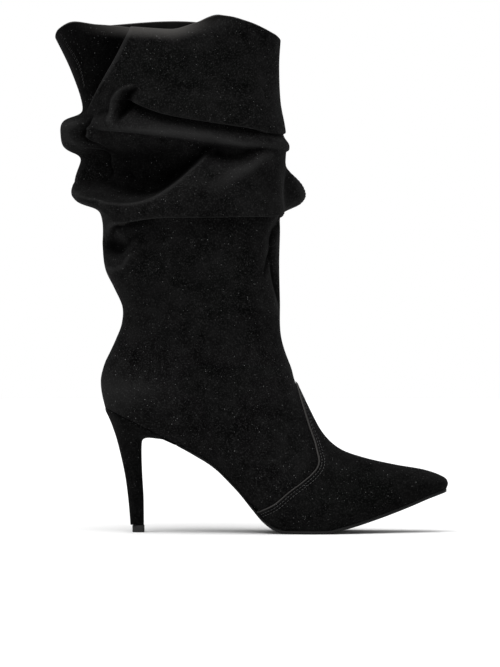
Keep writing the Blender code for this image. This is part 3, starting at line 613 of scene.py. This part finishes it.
def spread(field, passes, closed):
    """A field of vectors on a grid after some passes of averaging each place with its neighbours."""
    for _ in range(passes):
        if closed:
            turn = np.roll(field, 1, axis=1) + np.roll(field, -1, axis=1)
        else:
            padded = np.pad(field, ((0, 0), (1, 1), (0, 0)), mode="edge")
            turn = padded[:, 2:] + padded[:, :-2]
        padded = np.pad(field, ((1, 1), (0, 0), (0, 0)), mode="edge")
        field = field / 2 + (turn + padded[2:] + padded[:-2]) / 8
    return field


def ridges(grid, closed, passes):
    """How far each place stands out of its surroundings, from -1 in a crease to 1 on a crest."""
    out = directions(grid, closed)[2]
    proud = ((grid - spread(grid, passes, closed)) * out).sum(axis=2)
    return np.clip(proud / CREST_FULL, -1, 1)


def nap_tone_and_light(around, rows):
    """Tone of the shaft's nap with painted light: its base, the sum of tone exp(-(round / reach)^2 - (up /
    reach)^2) over patches of painted highlight, painted shade and lighter tone, and painted shade behind
    the outer panel's back edge.
    """
    degrees = around * 360
    share = (form(around, rows)[..., 2] - HEEL_HEIGHT) / SHAFT_HEIGHT
    share = share + rim_wave(degrees, share)
    tone = np.full(share.shape, BODY_TONE)
    for middle, height, wide, tall, tilt, amount in TONE_AND_LIGHT_PATCHES:
        off = degrees - middle
        up = share - height - tilt * off
        tone += amount * np.exp(-((off / wide) ** 2) - (up / tall) ** 2)
    # painted shade on the fin behind the outer panel's back edge
    edge = np.array(FOLDS[FIN_FOLD][5])
    behind = np.interp(share, edge[:, 1], edge[:, 0]) - degrees
    fin = np.clip(behind / FIN_FADE[0], 0, 1) * np.clip(degrees / FIN_FADE[1], 0, 1)
    return tone + FIN_SHADE * (fin * np.clip((share - edge[0, 1]) / FIN_FADE[2], 0, 1))


def fine_turns(count):
    """Turn shares round the shaft, closer together on the outer side: share - swell (sin + 1) / turn."""
    even = np.arange(count) / count
    return even - OUTER_SWELL / (2 * np.pi) * (np.sin(2 * np.pi * (even - 0.25)) + 1)


def build_upper(suede, lining):
    """The upper's wall: the folded form outside, recessed under the vamp, and a coarser lined inside."""
    parts = [np.linspace(low, high, count, endpoint=False) for low, high, count in FINE_ROWS]
    rows = np.append(np.concatenate(parts), FINE_ROWS[-1][1])
    around = np.broadcast_to(fine_turns(FINE_COLUMNS), (len(rows), FINE_COLUMNS))
    shape = folded(around, rows)
    out = directions(shape, True)[2]
    out[0] = unit(out[0] * (1, 1, 0))
    cover = vamp_cover(shape, around, rows)[..., None]
    outer = shape - out * cover * (VAMP_THICKNESS + CLEARANCE)
    keep = np.unique(np.append(np.arange(0, len(rows), INNER_EVERY), len(rows) - 1))
    inner = (outer - spread(out, INNER_SOFTNESS, True) * WALL)[keep, 0::2]
    turns = np.linspace(0, np.pi, RIM_STEPS + 2)[1:-1]
    middle = outer[-1] - out[-1] * WALL / 2
    climb = directions(outer, True)[1][-1]
    rim = [middle + WALL / 2 * (np.cos(turn) * out[-1] + np.sin(turn) * climb) for turn in turns]
    fine = np.concatenate([outer, np.stack(rim)])
    count = len(fine)
    first_inner = count * FINE_COLUMNS
    half = FINE_COLUMNS // 2
    numbers = np.arange(count * FINE_COLUMNS).reshape(count, FINE_COLUMNS)
    inside = first_inner + np.arange(len(keep) * half).reshape(len(keep), half)
    groups = [
        (quads(count, FINE_COLUMNS, True), 0),
        (quads(len(keep), half, True)[:, ::-1] + first_inner, 1),
        (bridge(numbers[-1], inside[-1]), 0),
        (bridge(numbers[0], inside[0])[:, ::-1], 0),
    ]
    points = np.concatenate([fine.reshape(-1, 3), inner.reshape(-1, 3)])
    plain = np.zeros(len(keep) * half)
    # crest value: creases painted black as shade, crests greyed as worn nap and painted highlight, with the
    # tone and painted light of the nap
    crest = ridges(outer, True, UPPER_CREST_PASSES) + nap_tone_and_light(around, rows)
    crest = np.concatenate([crest, np.repeat(crest[-1:], RIM_STEPS, axis=0)])
    cut = np.zeros((count, FINE_COLUMNS))
    cut[len(outer):] = 1
    # painted highlight: a band under the outer rim, on the outer side, greyed like a cut edge
    below_rim = (outer[-1, :, 2] - outer[..., 2]) / RIM_HIGHLIGHT_BAND
    on_side = np.exp(-(((around[0] * 360 - RIM_MIDDLE) / RIM_SPAN) ** 4))
    near_rim = rows[:, None] > FINE_ROWS[-1][1] - 1
    cut[: len(outer)] = RIM_HIGHLIGHT * np.clip(1 - np.abs(below_rim), 0, 1) * on_side * near_rim
    values = {"crest": np.append(crest.ravel(), plain), "cut": np.append(cut.ravel(), plain)}
    return add_piece("upper_suede", points, groups, [suede, lining], values, "upper")


def vamp_grid():
    """Grid of places of the vamp, with columns at set runs from its edge."""
    rows = np.linspace(0, VAMP_EDGE[-1][0], VAMP_ROWS)
    edge = vamp_edge(rows)
    small = 0.002
    beside = form(np.stack([edge, edge + small], axis=1), rows)
    rate = np.linalg.norm(beside[:, 1] - beside[:, 0], axis=1) / small
    run = (0.5 - edge) * rate
    near = np.array(VAMP_STEPS)
    squeeze = np.minimum(1, run / (2 * near[-1]))
    first = near * (squeeze / run)[:, None]
    far = first[:, -1:] + (1 - first[:, -1:]) * np.linspace(0, 1, VAMP_ACROSS + 1)[1:]
    outer = edge[:, None] + (0.5 - edge)[:, None] * np.concatenate([first, far], axis=1)
    around = np.concatenate([outer, 1 - outer[:, -2::-1]], axis=1)
    return folded(around, rows, closed=False)


def build_vamp(suede):
    """The laid-over vamp: the form's own surface, a wall thick, its cut edge rounded down to the upper."""
    shape = vamp_grid()
    out = directions(shape, False)[2]
    out[0] = unit(out[0] * (1, 1, 0))
    away = distance_to(shape, np.concatenate([shape[:, 0], shape[-1], shape[::-1, -1]]))
    into = np.clip(1 - away / VAMP_ROUND, 0, 1)
    drop = VAMP_ROUND * VAMP_EDGE_DROP * (1 - np.sqrt(1 - into**2))
    for distance in STITCH_ROWS:
        drop += STITCH_PULL * np.exp(-(((away - distance) / STITCH_SPREAD) ** 2))
    outer = shape - out * drop[..., None]
    inner = shape - out * VAMP_THICKNESS
    count, cols = shape.shape[:2]
    total = count * cols
    numbers = np.arange(total).reshape(count, cols)
    rim = np.concatenate([numbers[0], numbers[1:, -1], numbers[-1, -2::-1], numbers[-2:0:-1, 0]])
    after = np.roll(rim, -1)
    groups = [
        (quads(count, cols, False), 0),
        (quads(count, cols, False)[:, ::-1] + total, 0),
        (np.stack([rim, rim + total, after + total, after], axis=1), 0),
    ]
    points = np.concatenate([outer.reshape(-1, 3), inner.reshape(-1, 3)])
    cut = np.clip(1 - away / (VAMP_ROUND * CUT_WIDTH), 0, 1)
    crest = ridges(outer, False, VAMP_CREST_PASSES) + VAMP_TONE
    values = {"crest": np.tile(crest.ravel(), 2), "cut": np.tile(cut.ravel(), 2)}
    add_piece("vamp_suede", points, groups, [suede], values, "vamp")
    return outer, out, away


def stitch_run(path, normals):
    """Even stitch places along a path: middles, directions along it and outward directions."""
    steps = np.linalg.norm(np.diff(path, axis=0), axis=1)
    run = np.concatenate([[0], np.cumsum(steps)])
    middles = np.arange(STITCH_LENGTH, run[-1] - STITCH_LENGTH, STITCH_LENGTH + STITCH_GAP)
    places = []
    for at in (middles - STITCH_LENGTH / 2, middles, middles + STITCH_LENGTH / 2):
        places.append(np.stack([np.interp(at, run, path[:, axis]) for axis in range(3)], axis=1))
    facing = np.stack([np.interp(middles, run, normals[:, axis]) for axis in range(3)], axis=1)
    along = unit(places[2] - places[0])
    facing -= (facing * along).sum(axis=1, keepdims=True) * along
    return places[1], along, unit(facing)


def build_stitches(name, runs, thread):
    """Thread stitches as short arched capsules, one at each place, joined in one mesh."""
    middles, along, facing = (np.concatenate(part) for part in zip(*runs))
    side = np.cross(facing, along)
    places = np.linspace(-1, 1, STITCH_PLACES)
    turns = np.linspace(0, 2 * np.pi, STITCH_SIDES, endpoint=False)
    radius = THREAD_WIDTH / 2 * np.sqrt(np.maximum(1 - np.abs(places) ** 3, STITCH_TIP))
    lift = THREAD_WIDTH * (STITCH_ARCH * (1 - places**2) - STITCH_SUNK)
    offset = np.stack([
        np.broadcast_to((places * STITCH_LENGTH / 2)[:, None], (STITCH_PLACES, STITCH_SIDES)),
        radius[:, None] * np.cos(turns),
        radius[:, None] * np.sin(turns) + lift[:, None],
    ], axis=-1)
    frames = np.stack([along, side, facing], axis=1)
    points = middles[:, None, None] + np.einsum("uvk,nkj->nuvj", offset, frames)
    each = STITCH_PLACES * STITCH_SIDES
    body = quads(STITCH_PLACES, STITCH_SIDES, True)[:, ::-1]
    caps = np.stack([np.arange(STITCH_SIDES), np.arange(each - 1, each - STITCH_SIDES - 1, -1)])
    shifts = (np.arange(len(middles)) * each)[:, None, None]
    groups = [((body + shifts).reshape(-1, 4), 0), ((caps + shifts).reshape(-1, STITCH_SIDES), 0)]
    return add_piece(name, points.reshape(-1, 3), groups, [thread])


def seam_stitches(offset):
    """Stitch places along the back seam, or an even offset beside it, on the folded shaft."""
    path = smooth(SEAM_PATH, np.linspace(0, len(SEAM_PATH) - 1, SEAM_STEPS))[::-1]
    shape = folded(path[:, 0] / 360, path[:, 1], closed=False)
    facing = np.diagonal(directions(shape, False)[2]).T
    places = np.diagonal(shape).T
    aside = np.cross(facing, unit(np.gradient(places, axis=0)))
    return stitch_run(places + aside * offset, facing)


def vamp_stitches(thread, outer, out, away):
    """Two rows of stitches at fixed distances inside the vamp's edge, on either side of the foot."""
    runs = []
    middle = outer.shape[1] // 2
    for distance in STITCH_ROWS:
        for side in (slice(0, middle + 1), slice(None, middle - 1, -1)):
            path, normals = [], []
            for reach, line, facing in zip(away[3:, side], outer[3:, side], out[3:, side]):
                peak = int(np.argmax(reach > distance))
                if peak == 0:
                    continue
                part = (distance - reach[peak - 1]) / (reach[peak] - reach[peak - 1])
                path.append(line[peak - 1] + part * (line[peak] - line[peak - 1]))
                normals.append(facing[peak])
            runs.append(stitch_run(np.array(path), np.array(normals)))
    build_stitches("vamp_stitches", runs, thread)


def round_loop(back, front, half, power):
    """Loop with a rounded back and a squarer front, sloping from one point to the other."""
    turn = np.linspace(0, 2 * np.pi, HEEL_FINE, endpoint=False)
    ahead = -np.cos(turn)
    side = -np.sin(turn)
    powers = np.where(ahead > 0, power, HEEL_BACK_POWER)
    grow = (np.abs(ahead) ** powers + np.abs(side) ** powers) ** (-1 / powers)
    share = (1 + ahead * grow) / 2
    x = back[0] + share * (front[0] - back[0])
    z = back[1] + share * (front[1] - back[1])
    return np.stack([x, side * grow * half, z], axis=1)


def stacked(loops):
    """Points and faces of a stack of closed loops, each end closed round a middle point."""
    count, size = loops.shape[:2]
    ends = np.stack([loops[0].mean(axis=0), loops[-1].mean(axis=0)])
    points = np.concatenate([loops.reshape(-1, 3), ends])
    low = np.arange(size)
    high = low + (count - 1) * size
    tip = np.full(size, count * size)
    fans = np.concatenate([
        np.stack([np.roll(low, -1), low, tip], axis=1),
        np.stack([high, np.roll(high, -1), tip + 1], axis=1),
    ])
    return points, [(quads(count, size, True), 0), (fans, 0)]


def build_heel(suede):
    """The covered heel: sections lofted from the tip to the seat, its lip following the feather line."""
    at = np.linspace(0, len(HEEL_SECTIONS) - 1, HEEL_ROWS)
    loops = []
    for back_x, back_z, front_x, front_z, half, power in smooth(HEEL_SECTIONS, at):
        back = (back_x * HEEL_HEIGHT - SEAT_BACK, back_z * HEEL_HEIGHT)
        front = (front_x * HEEL_HEIGHT - SEAT_BACK, front_z * HEEL_HEIGHT)
        loops.append(round_loop(back, front, half * BALL_WIDTH, power))
    along = (loops[0][:, 0] + SEAT_BACK) / BOOT_LENGTH
    loops[0][:, 2] = feather_height(along) - CLEARANCE
    loops[-1][:, 2] = LIFT_HEIGHT + CLEARANCE
    points, groups = stacked(np.stack(loops[::-1]))
    plain = np.zeros(len(points))
    values = {"crest": plain + HEEL_TONE, "cut": plain}
    return add_piece("heel_cover", points, groups, [suede], values, "heel")


def build_top_lift(rubber):
    """The top lift: a squarish plate under the heel, with rounded edges."""
    loops = []
    for inset, height in LIFT_PROFILE:
        reach = LIFT_LENGTH / 2 - inset
        up = height * LIFT_HEIGHT
        loops.append(round_loop((-reach, up), (reach, up), LIFT_WIDTH / 2 - inset, LIFT_POWER))
    points, groups = stacked(np.stack(loops))
    return add_piece("top_lift_rubber", points, groups, [rubber], None, "top_lift")


def build_outsole(leather):
    """The sole: sections from edge to edge under the upper's rim, with rounded lower edges."""
    turns = np.linspace(0, 0.5, SOLE_STATIONS)
    rim = form(turns, [0])[0]
    start = SEAT_FRONT * HEEL_HEIGHT - SEAT_BACK + CLEARANCE
    first = np.interp(start, rim[:, 0], turns)
    kept = np.linspace(first, 0.5, SOLE_STATIONS)[:-1]
    left, right = form(kept, [0])[0], form(1 - kept, [0])[0]
    thin = np.clip((left[:, 0] - start) / (SOLE_THICKNESS * SOLE_TAPER), 0, 1) / 2 + 0.5
    deep = thin * (SOLE_THICKNESS - CLEARANCE)
    middle = (left + right) / 2 - (0, 0, CLEARANCE)
    half = np.linalg.norm(left - right, axis=1) / 2
    outward = (left - right) / (2 * half[:, None])
    corner = np.minimum(SOLE_ROUND, half * SOLE_NARROW)
    bend = np.linspace(0, np.pi / 2, SOLE_BEND)[:, None]
    side = half - corner * (1 - np.cos(bend))
    down = deep - corner * (1 - np.sin(bend))
    across = np.linspace(1, -1, SOLE_ACROSS)[1:-1, None]
    top = np.zeros_like(half)[None]
    flat = (half - corner) * across
    offset = np.concatenate([half[None], side, flat, -side[::-1], -half[None], -half * across])
    depth = np.concatenate([top, down, deep + 0 * across, down[::-1], top, 0 * deep * across])
    sections = middle + outward * offset[..., None] - np.array([0, 0, 1]) * depth[..., None]
    points, groups = stacked(np.swapaxes(sections, 0, 1))
    return add_piece("sole_leather", points, groups, [leather], None, "outsole")


def feed(tree, node, feeds):
    """Values, or the outputs of other nodes, given to a node's inputs."""
    for title, value in feeds.items():
        if isinstance(value, bpy.types.NodeSocket):
            tree.links.new(value, node.inputs[title])
        else:
            node.inputs[title].default_value = value


def put(tree, kind, settings=None, feeds=None):
    """A shader node with its settings and its fed inputs."""
    node = tree.nodes.new(kind)
    for title, value in (settings or {}).items():
        setattr(node, title, value)
    feed(tree, node, feeds or {})
    return node


def noise(tree, place, scale, detail=2.0, rough=0.5):
    """Values from about 0 to 1 that change over runs of 1 / scale metres."""
    feeds = {"Vector": place, "Scale": scale, "Detail": detail, "Roughness": rough}
    return put(tree, "ShaderNodeTexNoise", None, feeds).outputs[0]


def between(tree, value, low, high, start=0.0, end=1.0):
    """A value mapped from one range to another and held inside it."""
    feeds = {0: value, 1: low, 2: high, 3: start, 4: end}
    return put(tree, "ShaderNodeMapRange", {"clamp": True}, feeds).outputs[0]


def mixed(tree, share, first, second):
    """Two colours mixed by a share."""
    feeds = {0: share, 6: first, 7: second}
    return put(tree, "ShaderNodeMix", {"data_type": "RGBA"}, feeds).outputs[2]


def sums(tree, operation, first, second):
    """Two values joined by one operation."""
    return put(tree, "ShaderNodeMath", {"operation": operation}, {0: first, 1: second}).outputs[0]


def new_group(name, inputs, outputs):
    """A node group fed by a place and by values, which gives values: its tree, and its inside ends."""
    tree = bpy.data.node_groups.new(name, "ShaderNodeTree")
    tree.interface.new_socket("Place", in_out="INPUT", socket_type="NodeSocketVector")
    for title in inputs:
        tree.interface.new_socket(title, in_out="INPUT", socket_type="NodeSocketFloat")
    for title in outputs:
        tree.interface.new_socket(title, in_out="OUTPUT", socket_type="NodeSocketFloat")
    return tree, tree.nodes.new("NodeGroupInput"), tree.nodes.new("NodeGroupOutput")


def lint_group():
    """Lint: a mask of small specks, most of them faint, in a share of the cells, and 0 elsewhere."""
    tree, start, end = new_group("lint", ["Scale", "Share"], ["Mask"])
    cells = put(tree, "ShaderNodeTexVoronoi", None, {"Vector": start.outputs[0], "Scale": start.outputs[1]})
    chance = put(tree, "ShaderNodeSeparateColor", None, {0: cells.outputs["Color"]})
    picked = sums(tree, "LESS_THAN", chance.outputs[0], start.outputs[2])
    size = between(tree, chance.outputs[1], 0.0, 1.0, 0.08, 0.26)
    near = sums(tree, "DIVIDE", cells.outputs["Distance"], size)
    spot = between(tree, near, 0.5, 1.0, 1.0, 0.0)
    shade = sums(tree, "POWER", chance.outputs[2], 3.0)
    mask = sums(tree, "MULTIPLY", sums(tree, "MULTIPLY", picked, spot), shade)
    tree.links.new(mask, end.inputs[0])
    return tree


def fibre_group():
    """Fibre: mottling in broad patches, fine flecks, and the height of a short nap."""
    tree, start, end = new_group("fibre", ["Patch", "Fleck"], ["Mottle", "Flecks", "Height"])
    broad = noise(tree, start.outputs[0], start.outputs[1], 4.0, 0.6)
    wide = noise(tree, start.outputs[0], sums(tree, "MULTIPLY", start.outputs[1], 0.3), 2.0, 0.5)
    patches = sums(tree, "ADD", sums(tree, "MULTIPLY", broad, 0.6), sums(tree, "MULTIPLY", wide, 0.4))
    fine = noise(tree, start.outputs[0], start.outputs[2], 3.0, 0.65)
    tree.links.new(between(tree, patches, 0.36, 0.64), end.inputs[0])
    tree.links.new(between(tree, fine, 0.5, 0.78), end.inputs[1])
    tree.links.new(fine, end.inputs[2])
    return tree


def new_look(name):
    """A material with its tree, its Principled shader and the place on the piece."""
    look = bpy.data.materials.new(name)
    look.use_nodes = True
    tree = look.node_tree
    place = tree.nodes.new("ShaderNodeTexCoord").outputs["Object"]
    return look, tree, tree.nodes["Principled BSDF"], place


def grouped(tree, group, feeds):
    """A node that stands for a group, with its fed inputs."""
    return put(tree, "ShaderNodeGroup", {"node_tree": group}, feeds)


def grey(level, warm=0.0):
    """A grey with its red raised and its blue lowered by a share of it."""
    return (level * (1 + warm), level, level * (1 - warm), 1)


def suede_look(lint, fibre):
    """Black suede: a very dark nap, mottled, with sheen and lint; creases, the deep hollow and the fin
    darkened as painted shade, crests greyed as worn nap and painted highlight, cut edges pale and a painted
    highlight on a band under the outer rim.
    """
    look, tree, shader, place = new_look("black_suede")
    nap = grouped(tree, fibre, {"Place": place, "Patch": SUEDE_PATCH, "Fleck": SUEDE_NAP})
    crest = put(tree, "ShaderNodeAttribute", {"attribute_name": "crest"}).outputs["Fac"]
    cut = put(tree, "ShaderNodeAttribute", {"attribute_name": "cut"}).outputs["Fac"]
    ground = mixed(tree, nap.outputs[0], grey(SUEDE_DARK), grey(SUEDE_LIGHT))
    flecked = mixed(tree, sums(tree, "MULTIPLY", nap.outputs[1], FLECK_SHARE), ground, grey(SUEDE_FLECK))
    # crests greyed: worn nap and painted highlight
    rubbed = mixed(tree, between(tree, crest, RUB_AND_LIGHT_START, 1.0, 0.0, RUB_AND_LIGHT_SHARE), flecked, grey(SUEDE_CREST))
    # creases, and places with a negative tone, darkened towards black: painted shade
    shaded = mixed(tree, between(tree, crest, -1.0, 0.0, CREASE_SHARE, 0.0), rubbed, grey(0.0))
    # cut edges pale, and the band under the outer rim greyed as a painted highlight
    edged_and_lit = mixed(tree, sums(tree, "MULTIPLY", cut, CUT_AND_HIGHLIGHT_SHARE), shaded, grey(SUEDE_CUT_AND_HIGHLIGHT, CUT_AND_HIGHLIGHT_WARMTH))
    specks = grouped(tree, lint, {"Place": place, "Scale": SUEDE_LINT[0], "Share": SUEDE_LINT[1]})
    slack = noise(tree, place, SUEDE_SLACK, 3.0, 0.5)
    first = put(tree, "ShaderNodeBump", None, {"Height": slack, **SLACK_BUMP})
    raised = {"Height": nap.outputs[2], "Normal": first.outputs[0], **NAP_BUMP}
    second = put(tree, "ShaderNodeBump", None, raised)
    feed(tree, shader, {
        "Base Color": mixed(tree, specks.outputs[0], edged_and_lit, grey(LINT)),
        "Normal": second.outputs[0],
        **SUEDE_SURFACE,
    })
    return look


def plain_look(name, fibre, lint):
    """A finish mottled between two tones, with a fine grain, some gloss and a little lint."""
    dark, light, warm, roughness, gloss, bump, fleck, share = PLAIN_FINISHES[name]
    look, tree, shader, place = new_look(name)
    grain = grouped(tree, fibre, {"Place": place, "Patch": PLAIN_PATCH, "Fleck": fleck})
    ground = mixed(tree, grain.outputs[0], grey(dark, warm), grey(light, warm))
    specks = grouped(tree, lint, {"Place": place, "Scale": PLAIN_LINT, "Share": share})
    raised = {"Strength": bump, "Distance": PLAIN_GRAIN, "Height": grain.outputs[2]}
    feed(tree, shader, {
        "Base Color": mixed(tree, specks.outputs[0], ground, grey(LINT)),
        "Roughness": roughness,
        "Specular IOR Level": gloss,
        "Normal": put(tree, "ShaderNodeBump", None, raised).outputs[0],
    })
    return look


def dress_node(name, look):
    """The frame's own solid shown with a better finish."""
    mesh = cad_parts[name].data
    for index in range(len(mesh.materials)):
        mesh.materials[index] = look
    if not mesh.materials:
        mesh.materials.append(look)


def build_stage():
    """A pale floor, even white light all round, a broad soft light above and the level camera."""
    scene = bpy.context.scene
    scene.view_settings.view_transform = "Standard"
    floor_mesh = bpy.data.meshes.new("floor")
    side = FLOOR_SIDE / 2
    corners = [(-side, -side, 0), (side, -side, 0), (side, side, 0), (-side, side, 0)]
    floor_mesh.from_pydata(corners, [], [(0, 1, 2, 3)])
    paint = bpy.data.materials.new("floor_paint")
    paint.use_nodes = True
    shader = paint.node_tree.nodes["Principled BSDF"]
    pale = {"Base Color": grey(FLOOR_TONE), "Roughness": 0.6, "Specular IOR Level": 0.2}
    feed(paint.node_tree, shader, pale)
    floor_mesh.materials.append(paint)
    placed("floor", floor_mesh)
    world = bpy.data.worlds.new("studio")
    scene.world = world
    world.use_nodes = True
    tree = world.node_tree
    seen = tree.nodes.new("ShaderNodeLightPath").outputs["Is Camera Ray"]
    strength = between(tree, seen, 0.0, 1.0, WORLD_LIGHT, WORLD_SEEN)
    feed(tree, tree.nodes["Background"], {"Color": (1, 1, 1, 1), "Strength": strength})
    lamp = bpy.data.lights.new("top_light", "SUN")
    lamp.energy = SUN_POWER
    lamp.angle = np.radians(SUN_SPREAD)
    placed("top_light", lamp).rotation_euler = Vector(SUN_FROM).to_track_quat("Z", "Y").to_euler()
    lens = bpy.data.cameras.new("camera")
    lens.sensor_width = CAMERA_SENSOR
    lens.lens = CAMERA_SENSOR * CAMERA_AWAY / VIEW_HEIGHT
    lens.clip_start, lens.clip_end = CAMERA_REACH
    camera = placed("camera", lens)
    camera.location = (VIEW_CENTRE[0], -CAMERA_AWAY, VIEW_CENTRE[1])
    camera.rotation_euler = (np.pi / 2, 0, 0)
    scene.camera = camera


def dress():
    """Every piece of the boot and its stage."""
    lint, fibre = lint_group(), fibre_group()
    suede = suede_look(lint, fibre)
    thread, faint, lining, leather, rubber = (plain_look(name, fibre, lint) for name in PLAIN_FINISHES)
    build_upper(suede, lining)
    outer, out, away = build_vamp(suede)
    vamp_stitches(thread, outer, out, away)
    build_stitches("seam_stitches", [seam_stitches(offset) for offset in SEAM_OFFSETS], faint)
    build_heel(suede)
    build_outsole(leather)
    build_top_lift(rubber)
    dress_node("insole", lining)
    build_stage()


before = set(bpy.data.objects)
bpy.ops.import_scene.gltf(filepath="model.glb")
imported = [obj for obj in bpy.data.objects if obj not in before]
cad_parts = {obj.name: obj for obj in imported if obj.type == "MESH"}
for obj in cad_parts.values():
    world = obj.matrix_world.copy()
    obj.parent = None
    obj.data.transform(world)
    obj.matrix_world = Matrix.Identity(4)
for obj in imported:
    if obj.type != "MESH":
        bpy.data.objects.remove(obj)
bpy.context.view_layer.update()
dress()
